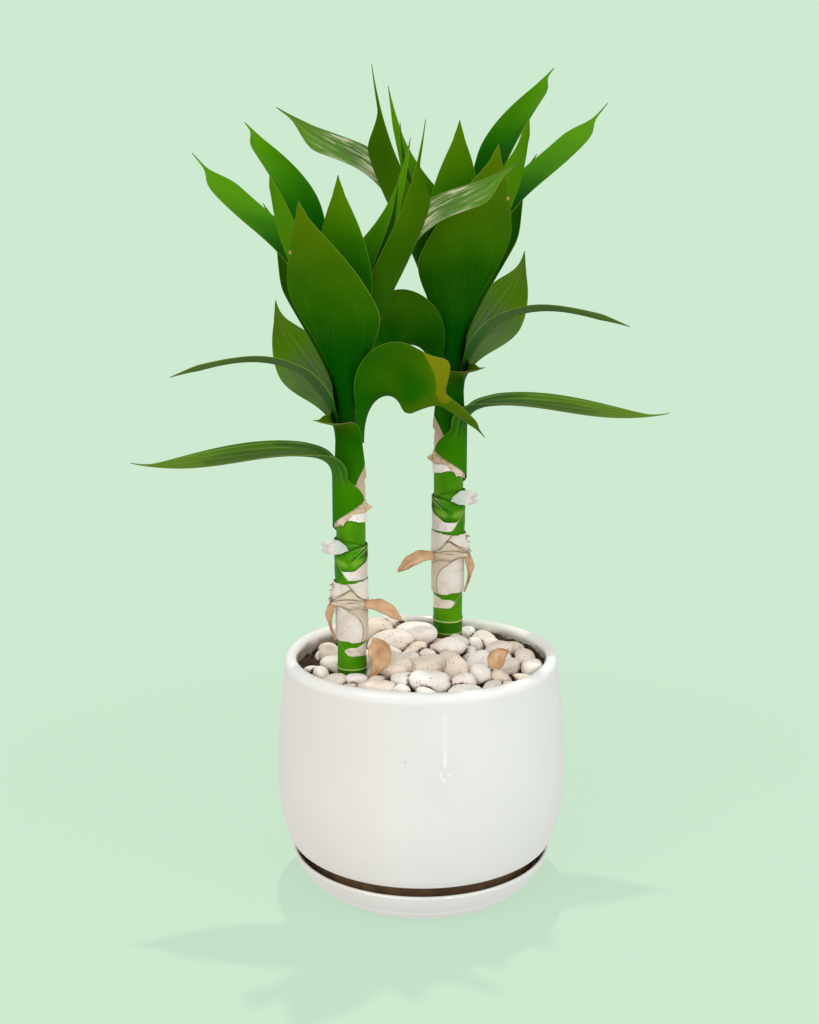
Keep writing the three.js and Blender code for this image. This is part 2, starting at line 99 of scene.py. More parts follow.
# Thicknesses of the sheets and fibres in mm, and their rows and columns of points
BLADE_MARGIN, BLADE_MIDDLE = 0.28, 0.55
BLADE_GRID, SHEATH_BLADE_GRID = (72, 25), (84, 49)
BLADE_STRIP = 3.5
WRAP_THICKNESS, WRAP_GRID = 0.4, (44, 161)
SCRAP_THICKNESS, SCRAP_GRID = 0.3, (40, 17)
FALLEN_THICKNESS, FALLEN_GRID = 0.35, (48, 25)
FIBRE_THICKNESS, FIBRE_STEPS, FIBRE_SIDES = 0.42, 40, 6
COLLAR_HAIRS = 22

# The share of a leaf's sheath after which it opens, and the leaf with a scar
LET_GO = 0.6
SCARRED_LEAF = "big_front"

# Radii in mm of the stalk in its sheath, and of the fibres in front of the husk collar
STALK_RADIUS = 8.0
FIBRE_RADIUS = 8.75

# Where the seeds of the torn edges start
WRAP_SEED, SCRAP_SEED, FALLEN_SEED = 100, 200, 260

# Points round each turned piece, rings on the soil and the grit, and the radius of their innermost ring
VESSEL_STEPS = 256
CANE_STEPS = 96
SOIL_STEPS, SOIL_RINGS = 160, 60
GRIT_STEPS, GRIT_RINGS = 200, 90
HUB = 0.6

# Pebbles: how many are tried, how far out they and their middles may lie, and the levels of their bed
PEBBLE_COUNT = 150
PEBBLE_FIELD = 60.0
PEBBLE_ROOM = 64.4
PEBBLE_RINGS, PEBBLE_SIDES = 15, 24
BED_BOTTOM = SOIL_TOP + GAP
BED_ROOF = 128.6
GRIT_LEVEL = SOIL_TOP + 6.6
GRIT_ROOM, GRIT_EDGE = 64.6, 64.9
SPIRAL_TURN = math.radians(137.5)

# How pebbles settle: rounds, how close they come, and the shares of a push and of a way back home
SETTLE_ROUNDS = 160
SETTLE_ROOM = 65.2
SETTLE_TOUCH = 0.93
SETTLE_PUSH = 0.3
SETTLE_RETURN = 0.03

# The floor and the backdrop in mm: where they start and bend, the bend's radius, the top and half the width
FLOOR_FRONT, FLOOR_BACK = -3000, 1500
BACKDROP_BEND, BACKDROP_TOP = 900, 4200
FLOOR_HALF = 4000

# The floor's share of paint, and the studio's even light
FLOOR_PAINT = 0.78
WORLD_STRENGTH = 0.68

# Pebbles placed after the photo: x, y, z, length, width, height and compass angle
MARKED_PEBBLES = [
    (3, -36, 117.5, 21, 16, 13, 4),
    (-22, -41, 116, 20, 13, 9, -6),
    (-1, -15, 118.5, 22, 15, 11, -5),
    (18, -23, 119.5, 9, 12, 15, 80),
    (29, -25, 118, 13, 13, 12, 20),
    (21, -44, 116, 17, 12, 8, -10),
    (14, 8, 121, 19, 12, 10, 28),
    (-24, 31, 126.5, 19, 16, 14, 10),
    (-15, 40, 126, 16, 13, 12, 60),
    (-3, 30, 124, 24, 14, 12, -30),
    (-19, 18, 122.5, 24, 16, 13, 15),
    (8, 14, 119, 15, 11, 9, 60),
    (47, 28, 115.5, 17, 12, 9, 130),
    (55, 9, 116.5, 15, 12, 10, 80),
    (36, 46, 115.5, 16, 12, 9, 140),
    (41, 14, 119, 15, 11, 10, 40),
    (25, 56, 115.5, 13, 11, 9, 165),
    (57, -9, 117.5, 14, 11, 9, 95),
]


@dataclass
class Plant:
    """Where a cane stands, the pebbles' level round it, its size and whether it is the mirror image."""

    side: str
    x: float
    y: float
    ground: float
    size: float
    mirror: int


PLANTS = [
    Plant("near", -35.3, -17.5, 116.0, 1.0, 1),
    Plant("far", 15.0, 42.0, 123.5, 1.09, -1),
]


@dataclass
class Leaf:
    """One leaf, in its plant's own frame: millimetres from the cane's axis and the pebbles' level.

    face: compass angle at which it leaves the cane. base, grip: height of its foot, and how far up the
    cane it then runs. rise, lean: length and tilt of the stretch that bends away. tip, reach, dip, veer:
    where its point is, and the length and angles of the stretch that ends there. width, widest, taper,
    spike: across the blade, where along it, how late it narrows, and the thin tip's share. extra, later:
    how much wider its clockwise side is, and how much further along. corner, notch: where, if anywhere,
    that side and the other one narrow to a strip. point: half the tip's width where it starts. clasp,
    sheath: half angle that the foot takes round the cane, and where it lets go. layer, slant: 1 where it
    lies over another, and its edge's slope. cup, bank, twist: half angle of the blade's hollow, its roll,
    and its further roll to the tip. crowd: how much closer its points lie near the foot. wave, waves: how
    far and how often its margins ripple. light, fresh, olive, grey: at the foot, the middle and the tip,
    how far its colour goes from deep to mid green, to bright green, to olive and to a painted grey sheen;
    the deep green is partly painted shade. streak: how bleached its streaks are. gold: the turned, yellow
    patch at its corner, painted as light shining through the blade. cream: a pale sheath margin. brown:
    how far its rim is dried.
    """

    name: str
    face: float
    base: float
    tip: tuple
    reach: float
    dip: float
    width: float
    rise: float
    grip: float = 0.0
    lean: float = 6.0
    veer: float = 0.0
    widest: float = 0.5
    taper: float = 2.0
    spike: float = 0.06
    extra: float = 0.0
    later: float = 0.0
    corner: float = 1.0
    notch: float = 1.0
    point: float = 1.2
    clasp: float = 40.0
    sheath: float = 0.1
    layer: int = 0
    slant: float = 0.0
    cup: float = 22.0
    bank: float = 0.0
    twist: float = 0.0
    crowd: float = 1.0
    wave: float = 0.3
    waves: float = 2.0
    light: tuple = (0.0, 0.5, 1.0)
    fresh: tuple = (0.0, 0.0, 0.3)
    olive: tuple = (0.0, 0.1, 0.4)
    grey: tuple = (0.0, 0.0, 0.0)
    streak: float = 0.0
    gold: float = 0.0
    cream: float = 0.0
    brown: float = 0.0


LEAVES = [
    Leaf("low_left", 190, 79, (-107.9, -2, 110), 32, 14.6, 39, 26, grip=24, lean=0, widest=0.29, taper=3,
         extra=6, later=0.17, clasp=135, sheath=0.2, layer=1, slant=13, cup=14, bank=-1, twist=-9, crowd=1.5,
         light=(0.9, 0.2, 0.4), fresh=(0.3, 0, 0), olive=(0.1, 0.5, 0.8), grey=(0, 0.05, 0.05), streak=0.75,
         brown=0.6),
    Leaf("low_front", 228, 97, (-15.8, -30.4, 134.8), 12, 19, 19, 10, grip=25, lean=0, veer=-19, widest=0.68,
         extra=-6.4, clasp=118, sheath=1.03, slant=6, cup=28, bank=-12, twist=-3, crowd=1.2, wave=0.1,
         light=(0.6, 0.35, 0.3), olive=(0.15, 0.2, 0.9), cream=1.0, brown=1.0),
    Leaf("mid_left", 190, 114, (-87.8, 1.7, 151.7), 56, -20, 19.6, 45, lean=0, veer=-7, widest=0.29,
         taper=1.05, extra=-8.3, later=-0.06, clasp=33, cup=6, bank=20, twist=27, wave=0.4, waves=3,
         light=(0.2, 0.6, 0.8), olive=(0, 0.3, 0.7), grey=(0, 0.8, 0.7), streak=0.8, brown=0.4),
    Leaf("mid_left_back", 110, 117, (-38.7, 34, 187.8), 30, 84, 30, 37, lean=24, widest=0.53, taper=1.65,
         extra=-8.8, later=0.15, cup=25, bank=-31, twist=3, light=(0.3, 1, 1), fresh=(0, 0.7, 0.85),
         olive=(0.2, 0.5, 0.8), grey=(1, 1.1, -1.2), streak=0.6),
    Leaf("right_curl", 331, 120, (67.4, 20.8, 119.5), 78, -25, 47, 48.8, lean=0, veer=48, widest=0.85,
         taper=3.7, extra=-6.5, later=-0.38, corner=0.645, notch=0.685, clasp=32, cup=14, bank=-75, twist=-11,
         wave=0.1, light=(0.4, 0.25, 1), olive=(0, 0.45, 1), gold=1.0, brown=0.5),
    Leaf("big_front", 257, 126, (-19.9, -41.8, 234.2), 17, 87, 46.4, 69.6, lean=0, veer=-21, widest=0.35,
         taper=1.22, later=0.09, clasp=34, cup=10, bank=-14, twist=-1.6,
         light=(0, 0.6, 1), fresh=(0, 0, 0), olive=(0, 0.5, 1)),
    # dark_back is painted deep, dull green as shade: it lies behind the other leaves.
    Leaf("dark_back", 100, 126, (-44.6, 39.7, 235.7), 60, 54, 27, 35, lean=14, veer=6, widest=0.7, taper=1.4,
         cup=24, twist=-11, light=(0.1, 0.3, 0.5), olive=(0, 0.2, 0.4), fresh=(0, 0, 0)),
    Leaf("far_left", 149, 131, (-79.8, 41, 260.5), 68, 49, 24, 95, lean=5, veer=9, widest=0.85, taper=2.6,
         extra=-2.4, cup=12, bank=-13, twist=8, light=(0.1, 0.35, 1), fresh=(0, 0.05, 0.8),
         olive=(0, 0, 0.15)),
    Leaf("streaked", 38, 138, (80.4, -14, 252.5), 65, 25, 26.7, 95, lean=8, veer=-31, widest=0.64, taper=1.15,
         extra=2.2, later=0.26, clasp=32, cup=15, light=(0.2, 0.7, 1), fresh=(0, 0, 0.6), olive=(0, 0.3, 0.5),
         grey=(0.8, 1, 0.3), streak=1.0),
    Leaf("right_up", 325, 139, (36.5, -17, 271), 56, 82, 26.6, 65, lean=8, widest=0.76, taper=1.05,
         spike=0.13, point=0.8, extra=-12.7, later=-0.33, clasp=32, cup=35, bank=-32, twist=4,
         light=(0.1, 0.25, 0.3), olive=(0.1, 0.5, 0.55), fresh=(0, 0, 0)),
    Leaf("upper_left", 216, 143, (-47.8, -3, 271.2), 27, 51, 30.7, 72, lean=7, widest=0.85, taper=1.4,
         extra=4, later=-0.3, cup=30, bank=-60, light=(0, 0.35, 0.9), fresh=(0, 0, 0.7), olive=(0, 0, 0.25)),
    Leaf("right_behind", 84, 150, (29.6, 20.3, 265.9), 73, 80, 26, 45, lean=10, widest=0.66, taper=1.05,
         extra=-8.8, later=-0.17, cup=41, bank=-15, twist=-15, light=(0, 0.4, 1), fresh=(0, 0.2, 0.8),
         olive=(0, 0.1, 0.3)),
    Leaf("middle", 272, 154, (-3.5, -20, 246.3), 20, 89, 26, 28, lean=19, widest=0.46, taper=1.8,
         extra=-2.7, later=0.08, cup=15, bank=-14.5, light=(0, 0.4, 1), fresh=(0, 0.1, 0.45),
         olive=(0, 0.15, 0.75)),
    Leaf("left_inner", 132, 159, (-38, 12, 251.4), 32, 83, 20, 49, widest=0.45, taper=1.7, extra=-8, cup=26,
         bank=-60, light=(0.5, 1, 1), fresh=(0.4, 1, 1), olive=(0, 0.1, 0.2), grey=(0, 0.15, 0.1)),
    Leaf("inner_small", 345, 160, (23.8, 2.2, 247.3), 40, 88, 16, 30, cup=30, light=(0.2, 0.5, 0.8)),
]


# Lines drawn on a stalk: compass angle and height in mm above the pebbles
CANE_PATCH = ((241, 15.3), (263, 16.8), (291, 16.9), (309, 17.8), (352, 19.1), (380, 19.5), (396, 15.5),
              (380, 12.0), (352, 11.7), (300, 12.4), (264, 12.6), (248, 14.1))
CANE_THREAD = ((180, 20.0), (223, 17.9), (243, 15.6))
SHEATH_FOLD = ((180, 39.1), (219, 38.5), (250, 37.2), (276, 34.9), (299, 32.1), (312, 28.8), (318, 24.6),
               (309, 20.1))
KNOT_FOLDS = (
    ((193, 40.0), (235, 43.5), (261, 46.3), (271, 46.8), (281, 45.8), (299, 43.0), (335, 40.8)),
    ((260, 49.9), (274, 47.4), (296, 43.6), (335, 39.8)),
    ((193, 39.7), (243, 42.0), (278, 42.2), (335, 39.8)),
)
FIBRE_LINES = (*KNOT_FOLDS, ((193, 41.5), (240, 44.8), (268, 47.6)), ((235, 39.8), (285, 40.8), (335, 38.6)))
COLLAR_BULGES = ((190, 38.0, 36, 10.5, 2.8), (262, 42, 30, 3.5, 0.5))
FLAP_EDGE = ((199, 60.9), (221, 59.3), (236, 57.2), (259, 56.7), (284, 56.9), (303, 58.5), (335, 61.5),
             (380, 63.5))
FLAP_THREAD = ((199, 60.9), (221, 59.3), (236, 56.9), (248, 54.0), (259, 52.0))
FLAP_FOLDS = (
    ((257, 67.5), (286, 68.8), (333, 69.9), (350, 70.2)),
    ((180, 63.0), (239, 65.5), (268, 67.0), (301, 68.4), (333, 69.3)),
    ((276, 61.9), (298, 64.8), (333, 67.8), (348, 68.6)),
)


@dataclass
class Wrap:
    """An old sheath round the cane, between a low and a high edge, each a line of angles and heights.

    look: its material. layer: how much further out it lies. ragged, crumple: how torn and uneven. folds:
    lines pressed into it. patches, pale: closed lines round its bare cream parts and its paler parts, partly
    painted highlight.
    laps: closed lines round the parts that lie over the rest. bulges: angle, height, spread round, spread
    up and reach of the places that stand off the cane.
    """

    name: str
    look: str
    low: tuple
    high: tuple
    layer: float = 0.0
    folds: tuple = ()
    patches: tuple = ()
    laps: tuple = ()
    pale: tuple = ()
    bulges: tuple = ()
    ragged: float = 0.3
    crumple: float = 0.1


WRAPS = [
    Wrap("cream_sheath", "husk",
         ((95, 20.6), (191, 20.8), (228, 20.3), (260, 20.4), (274, 19.6), (296, 19.7), (331, 20.2), (400, 21),
          (465, 20.6)),
         ((95, 46), (465, 46)),
         folds=(SHEATH_FOLD, ((242, 38.4), (268, 37.0), (298, 37.3), (344, 34.9))),
         laps=((*SHEATH_FOLD, (380, 19), (380, 41), (180, 41)),), ragged=0.12),
    Wrap("green_sheath", "skin",
         ((95, 50), (180, 50.3), (217, 49.9), (260, 49.9), (281, 50.4), (304, 51.2), (330, 51.8), (400, 51),
          (465, 50)),
         ((95, 71), (180, 72.3), (238, 72.3), (264, 71.4), (293, 70.3), (326, 69.0), (380, 69), (465, 71)),
         folds=(*FLAP_FOLDS, FLAP_EDGE),
         patches=(((236, 56.4), (259, 56.4), (284, 56.6), (303, 58.3), (345, 61.3), (375, 62.5), (395, 58),
                   (385, 53), (351, 52.1), (288, 51.9), (263, 51.8)),),
         laps=((*FLAP_EDGE, (380, 75), (150, 75), (150, 62)),),
         pale=(((199, 61.9), (239, 62.2), (262, 59.3), (244, 58.6), (215, 60.2)),
               ((269, 59.8), (287, 62.3), (321, 62.9), (311, 60.5), (284, 58.7))),
         bulges=((215, 58.5, 40, 3.0, 0.3),), ragged=0.1),
    Wrap("husk_collar", "husk",
         ((100, 38), (180, 37.6), (190, 39.4), (200, 38.2), (236, 39.3), (262, 38), (289, 38.5), (336, 37.7),
          (400, 37.5), (470, 38)),
         ((100, 50), (180, 50.3), (217, 50.0), (260, 50.0), (281, 50.5), (304, 51.3), (330, 52.0), (400, 51),
          (470, 50)),
         layer=0.32, folds=KNOT_FOLDS, laps=((*KNOT_FOLDS[0], (350, 36), (193, 36)),),
         bulges=(*COLLAR_BULGES, (345, 41, 30, 3.0, 0.3)), ragged=0.5),
    Wrap("papery_band", "band",
         ((194, 77.8), (218, 78.9), (233, 79.7), (244, 79.1), (253, 81.5), (264, 82.3), (293, 81.7),
          (356, 80.1)),
         ((194, 79.9), (218, 82.0), (257, 85.7), (285, 88.2), (301, 89.6), (319, 91.4), (342, 92.0),
          (349, 89.5), (356, 88.9)),
         patches=(((255, 81), (270, 83.6), (285, 85.4), (330, 85.2), (362, 86), (362, 78), (290, 79)),),
         bulges=((352, 88, 7, 1.4, 2.6),), ragged=0.36),
]


@dataclass
class Scrap:
    """A dry strip along a cubic path, curled across its width, with a ragged outline.

    wide, shape: its width, and what share of it each stretch has. normal: which way it faces. crumple: how
    uneven its face is at its root and at its end.
    """

    name: str
    look: str
    wide: float
    curl: float
    normal: tuple
    path: tuple
    ragged: float = 0.3
    shape: tuple = (0.35, 0.8, 1.0, 0.8, 0.3)
    crumple: tuple = (0.3, 0.3)


SCRAPS = [
    Scrap("dry_scrap_long", "dry", 6.6, 1.0, (0.15, -0.85, 0.55),
          ((7.4, -6.2, 38.9), (12, -8, 40.6), (19, -9, 38.4), (25, -8, 31.6)),
          shape=(0.55, 0.75, 1.0, 1.0, 0.75, 0.18)),
    Scrap("dry_scrap_short", "dry", 4.6, 0.7, (-0.6, -0.8, 0),
          ((-8.0, -5.6, 38.5), (-11.6, -4.8, 38), (-11.2, -5, 29), (-7.9, -5.4, 20.6)),
          shape=(0.5, 0.95, 1.0, 0.6, 0.34, 0.2)),
    Scrap("papery_tuft", "tuft", 7.2, 0.4, (-0.3, -0.9, 0.2),
          ((-1.0, -9.0, 67.4), (-5.6, -9.8, 69.4), (-9, -7.5, 69.3), (-13.6, -5.6, 68.2)),
          shape=(0.06, 0.66, 0.95, 1.0, 0.95, 0.7), crumple=(0.0, 1.5)),
]
FALLEN = [
    Scrap("fallen_leaf_left", "dry", 12, 2.2, (0.3, -1, 0.1),
          ((-25.5, -25.5, 135.8), (-20, -28, 133.4), (-19.5, -28, 126.4), (-26.5, -28, 118.6)),
          shape=(0.5, 0.85, 1.0, 0.8, 0.42, 0.1), crumple=(0.6, 0.4)),
    Scrap("fallen_leaf_right", "dry", 9, 2.4, (-0.5, -1, 0.2),
          ((44, -20, 130), (39, -22, 129), (37, -22, 126), (38, -23, 121)),
          shape=(0.08, 0.6, 1.0, 0.95, 0.5), crumple=(0.5, 0.4)),
]


def ease(t):
    """0 below 0, 1 above 1, and an S curve between."""
    t = np.clip(t, 0.0, 1.0)
    return t * t * (3 - 2 * t)


def unit(vectors):
    """Vectors of length one along the last axis."""
    return vectors / np.maximum(np.linalg.norm(vectors, axis=-1, keepdims=True), 1e-12)


def heading(compass, climb=0.0):
    """The direction at a compass angle and a climb, both in degrees."""
    a, c = math.radians(compass), math.radians(climb)
    return np.array([math.cos(c) * math.cos(a), math.cos(c) * math.sin(a), math.sin(c)])


def cubic(path, t):
    """Points and directions at t of the cubic Bezier curve with those four control points."""
    a, b, c, d = (np.asarray(point, float) for point in path)
    t = np.asarray(t, float)[..., None]
    s = 1 - t
    points = s**3 * a + 3 * s * s * t * b + 3 * s * t * t * c + t**3 * d
    return points, unit(s * s * (b - a) + 2 * s * t * (c - b) + t * t * (d - c))


def smooth_line(points, steps):
    """A Catmull-Rom curve through the points, with that many steps between each two."""
    p = np.asarray(points, float)
    p = np.vstack([2 * p[0] - p[1], p, 2 * p[-1] - p[-2]])
    t = np.linspace(0, 1, steps, endpoint=False)[:, None, None]
    a, b, c, d = p[:-3], p[1:-2], p[2:-1], p[3:]
    curve = 0.5 * (2 * b + (c - a) * t + (2 * a - 5 * b + 4 * c - d) * t**2 + (3 * b - a - 3 * c + d) * t**3)
    return np.vstack([curve.transpose(1, 0, 2).reshape(-1, p.shape[1]), p[-2]])


def field(x, y, seed, scale, waves=9):
    """A smooth random height, about -1 to 1: plane waves of random direction and phase, added up."""
    draw = np.random.default_rng(seed)
    angle = draw.uniform(0, 2 * math.pi, waves)
    phase = draw.uniform(0, 2 * math.pi, waves)
    pitch = 2 * math.pi / scale * draw.uniform(0.6, 1.6, waves)
    total = 0.0
    for a, p, k in zip(angle, phase, pitch):
        total = total + np.sin(k * (x * math.cos(a) + y * math.sin(a)) + p)
    return total * math.sqrt(2 / waves) / 1.6


def cane_radius(height):
    """The cane's radius in mm at a height above the pebbles."""
    return np.interp(height, CANE_HEIGHTS, CANE_RADII)


def grid_quads(rows, columns):
    """The four-cornered faces of a grid of points numbered row by row; each runs along its row first."""
    number = np.arange(rows * columns).reshape(rows, columns)
    corners = number[:-1, :-1], number[:-1, 1:], number[1:, 1:], number[1:, :-1]
    return np.stack(corners, axis=-1).reshape(-1, 4)


def ring_faces(rings, sides, closed=False):
    """The quads between rings of points that are numbered ring by ring.

    Two poles numbered after the points close the first and the last ring with fans; in a closed outline
    the last ring joins the first instead.
    """
    side = np.arange(sides)
    beside = (side + 1) % sides
    ring = np.arange(rings if closed else rings - 1)[:, None] * sides
    after = (ring + sides) % (rings * sides)
    quads = np.stack([ring + side, ring + beside, after + beside, after + side], axis=-1).reshape(-1, 4)
    if closed:
        return quads, None
    pole, top = np.full(sides, rings * sides), (rings - 1) * sides
    fans = np.stack([pole, beside, side], axis=-1), np.stack([pole + 1, top + side, top + beside], axis=-1)
    return quads, np.concatenate(fans)


def write_mesh(name, points, quads, triangles=None, uv=None, marks=None, sharp=50, flip=False):
    """A mesh from arrays: points in mm, faces, a UV for each point, and named values for each point."""
    triangles = np.zeros((0, 3), int) if triangles is None else triangles
    if flip:
        quads, triangles = quads[:, ::-1], triangles[:, ::-1]
    corners = np.concatenate([quads.ravel(), triangles.ravel()]).astype(np.int32)
    starts = np.concatenate([np.arange(len(quads)) * 4, len(quads) * 4 + np.arange(len(triangles)) * 3])
    mesh = bpy.data.meshes.new(name)
    mesh.vertices.add(len(points))
    mesh.vertices.foreach_set("co", (np.asarray(points) * MM).astype(np.float32).ravel())
    mesh.loops.add(len(corners))
    mesh.loops.foreach_set("vertex_index", corners)
    mesh.polygons.add(len(starts))
    mesh.polygons.foreach_set("loop_start", starts.astype(np.int32))
    mesh.update(calc_edges=True)
    if uv is not None:
        layer = mesh.uv_layers.new(name="UVMap")
        layer.data.foreach_set("uv", np.asarray(uv, np.float32)[corners].ravel())
    for mark, values in (marks or {}).items():
        attribute = mesh.attributes.new(mark, "FLOAT", "POINT")
        attribute.data.foreach_set("value", np.asarray(values, np.float32).ravel())
    mesh.validate()
    mesh.shade_smooth()
    mesh.set_sharp_from_angle(angle=math.radians(sharp))
    return mesh


def show(mesh, finish, replaces=()):
    """Puts a finished mesh in the scene as a piece that stands for those CAD nodes."""
    piece = bpy.data.objects.new(mesh.name, mesh)
    piece.data.materials.append(finish)
    bpy.context.scene.collection.objects.link(piece)
    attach(piece, "root")
    if replaces:
        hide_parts(*replaces)


def shell(name, middle, thickness, marks, flip=False):
    """A closed thin wall round a grid of points: half the thickness to each side along the normal.

    A normal is the cross product of the grid's steps along and across.
    """
    rows, columns = middle.shape[:2]
    normals = unit(np.cross(np.gradient(middle, axis=0), np.gradient(middle, axis=1)))
    half = normals * (np.broadcast_to(thickness, (rows, columns)) / 2)[..., None]
    points = np.concatenate([(middle - half).reshape(-1, 3), (middle + half).reshape(-1, 3)])
    count = rows * columns
    number = np.arange(count).reshape(rows, columns)
    border = np.concatenate([number[0, :-1], number[:-1, -1], number[-1, :0:-1], number[:0:-1, 0]])
    after = np.roll(border, -1)
    under = grid_quads(rows, columns)
    over = under[:, [0, 3, 2, 1]] + count
    rim = np.stack([border, after, after + count, border + count], axis=-1)
    u, v = np.meshgrid(np.linspace(0, 1, rows), np.linspace(0, 1, columns), indexing="ij")
    uv = np.tile(np.stack([u, v], axis=-1).reshape(-1, 2), (2, 1))
    both = {mark: np.tile(np.broadcast_to(value, (rows, columns)).ravel(), 2)
            for mark, value in marks.items()}
    return write_mesh(name, points, np.concatenate([under, over, rim]), uv=uv, marks=both, flip=flip)


def even_turns(steps, crowded=None):
    """Angles round a whole turn; where one is crowded, its own lies in a denser stretch.

    The density is one plus a bell curve, so the angles are the inverse of its running sum.
    """
    if crowded is None:
        return np.linspace(0, 2 * math.pi, steps, endpoint=False)[None, :]
    fine = np.linspace(0, 2 * math.pi, 20001)
    density = 1 + 14 * np.exp(-(((fine - crowded) / 0.035) ** 2))
    reached = np.concatenate([[0], np.cumsum(density[1:])])
    return np.interp(np.linspace(0, reached[-1], steps, endpoint=False), reached, fine)[None, :]


def turned(name, radius, height, turn, closed=False, sharp=50):
    """A surface turned round Z: a ring of points for each row of the radii and heights, at those angles.

    A closed outline joins its last ring to its first; an open one starts and ends in a point on the axis.
    """
    radius, height, turn = np.broadcast_arrays(radius, height, turn)
    points = np.stack([radius * np.cos(turn), radius * np.sin(turn), height], axis=-1).reshape(-1, 3)
    if not closed:
        points = np.concatenate([points, [[0, 0, height[0].mean()], [0, 0, height[-1].mean()]]])
    return write_mesh(name, points, *ring_faces(*radius.shape, closed), sharp=sharp)


class Number:
    """A number that flows through a material's nodes: arithmetic on it adds Math nodes."""

    def __init__(self, finish, socket):
        self.finish = finish
        self.socket = socket

    def math(self, operation, *values):
        """The result of one Math node on these values."""
        return self.finish.add("ShaderNodeMath", {"operation": operation}, dict(enumerate(values)))

    def __add__(self, other):
        return self.math("ADD", self, other)

    __radd__ = __add__

    def __sub__(self, other):
        return self.math("SUBTRACT", self, other)

    def __rsub__(self, other):
        return self.math("SUBTRACT", other, self)

    def __mul__(self, other):
        return self.math("MULTIPLY", self, other)

    __rmul__ = __mul__

    def __truediv__(self, other):
        return self.math("DIVIDE", self, other)

    def __pow__(self, other):
        return self.math("POWER", self, other)

    def absolute(self):
        return self.math("ABSOLUTE", self)

    def between(self, low, high):
        """0 up to low, 1 from high on, eased between."""
        settings = {"interpolation_type": "SMOOTHSTEP"}
        inputs = {"Value": self, "From Min": low, "From Max": high}
        return self.finish.add("ShaderNodeMapRange", settings, inputs)

    def below(self, low, high):
        """1 up to low, 0 from high on, eased between."""
        return 1 - self.between(low, high)

    def near(self, value, inner, outer):
        """1 up to the inner distance from a value, 0 from the outer one on."""
        return (self - value).absolute().below(inner, outer)

    def within(self, low, start, end, high):
        """0 up to low, 1 from start to end, and 0 again from high on."""
        return self.between(low, start) * self.below(end, high)


class Finish:
    """A material in the making: one Principled shader, and the colour that its coats have so far."""

    def __init__(self, name, **fixed):
        self.material = bpy.data.materials.new(name)
        self.material.use_nodes = True
        self.tree = self.material.node_tree
        self.shader = self.tree.nodes["Principled BSDF"]
        self.colour = None
        for socket, value in fixed.items():
            self.feed(self.shader.inputs[socket.replace("_", " ")], value)

    def feed(self, socket, value):
        """Links a Number to a socket, or sets a plain value or a colour of three numbers on it."""
        if isinstance(value, Number):
            self.tree.links.new(value.socket, socket)
        elif socket.type == "RGBA":
            socket.default_value = (*value, 1.0)
        else:
            socket.default_value = value

    def add(self, kind, settings=None, inputs=None, output=0):
        """Adds a node of that type: its settings first, then the values or links of its sockets."""
        node = self.tree.nodes.new(kind)
        for name, value in (settings or {}).items():
            setattr(node, name, value)
        for socket, value in (inputs or {}).items():
            self.feed(node.inputs[socket], value)
        return Number(self, node.outputs[output])

    def place(self):
        """Object coordinates, in metres."""
        return self.add("ShaderNodeTexCoord", output="Object")

    def marks(self, *names):
        """Values that the mesh keeps for each point."""
        return [self.add("ShaderNodeAttribute", {"attribute_type": "GEOMETRY", "attribute_name": name},
                         output="Fac") for name in names]

    def split(self, vector):
        """The three numbers of a vector."""
        outputs = self.add("ShaderNodeSeparateXYZ", inputs={0: vector}).socket.node.outputs
        return [Number(self, output) for output in outputs]

    def sheet(self):
        """How far along a sheet and how far across it, each from 0 to 1."""
        return self.split(self.add("ShaderNodeUVMap", {"uv_map": "UVMap"}))[:2]

    def noise(self, vector, scale, detail=2.0, roughness=0.5, distortion=0.0):
        """Cloudy noise from 0 to 1."""
        inputs = {"Vector": vector, "Scale": scale, "Detail": detail, "Roughness": roughness,
                  "Distortion": distortion}
        return self.add("ShaderNodeTexNoise", inputs=inputs)

    def grain(self, x, y, z=0.0, detail=2.0, roughness=0.5):
        """Cloudy noise over three numbers of its own, so stretched as they are."""
        return self.noise(self.add("ShaderNodeCombineXYZ", inputs={0: x, 1: y, 2: z}), 1.0, detail, roughness)

    def cells(self, vector, scale):
        """Distance to the nearest of scattered points."""
        return self.add("ShaderNodeTexVoronoi", inputs={"Vector": vector, "Scale": scale})

    def mix(self, mask, first, second):
        """A colour that is the first where the mask is 0 and the second where it is 1."""
        return self.add("ShaderNodeMix", {"data_type": "RGBA"}, {0: mask, 6: first, 7: second}, output=2)

    def ground(self, mask, first, second):
        """The first coat, mixed of two colours."""
        self.colour = self.mix(mask, first, second)

    def paint(self, mask, colour):
        """One more coat, as dense as the mask."""
        self.colour = self.mix(mask, self.colour, colour)

    def bump(self, height, distance, strength=1.0, normal=None):
        """A normal that follows a height from 0 to 1 times a distance in mm."""
        inputs = {"Height": height, "Distance": distance * MM, "Strength": strength}
        if normal is not None:
            inputs["Normal"] = normal
        return self.add("ShaderNodeBump", inputs=inputs)

    def done(self, roughness, normal=None):
        """Feeds the shader and gives the material."""
        self.feed(self.shader.inputs["Base Color"], self.colour)
        self.feed(self.shader.inputs["Roughness"], roughness)
        if normal is not None:
            self.feed(self.shader.inputs["Normal"], normal)
        return self.material


def tone(red, green, blue):
    """A colour given as 0 to 255 on screen, as the linear values that a shader takes."""
    screen = np.array([red, green, blue]) / 255
    return tuple(np.where(screen <= 0.04045, screen / 12.92, ((screen + 0.055) / 1.055) ** 2.4).tolist())


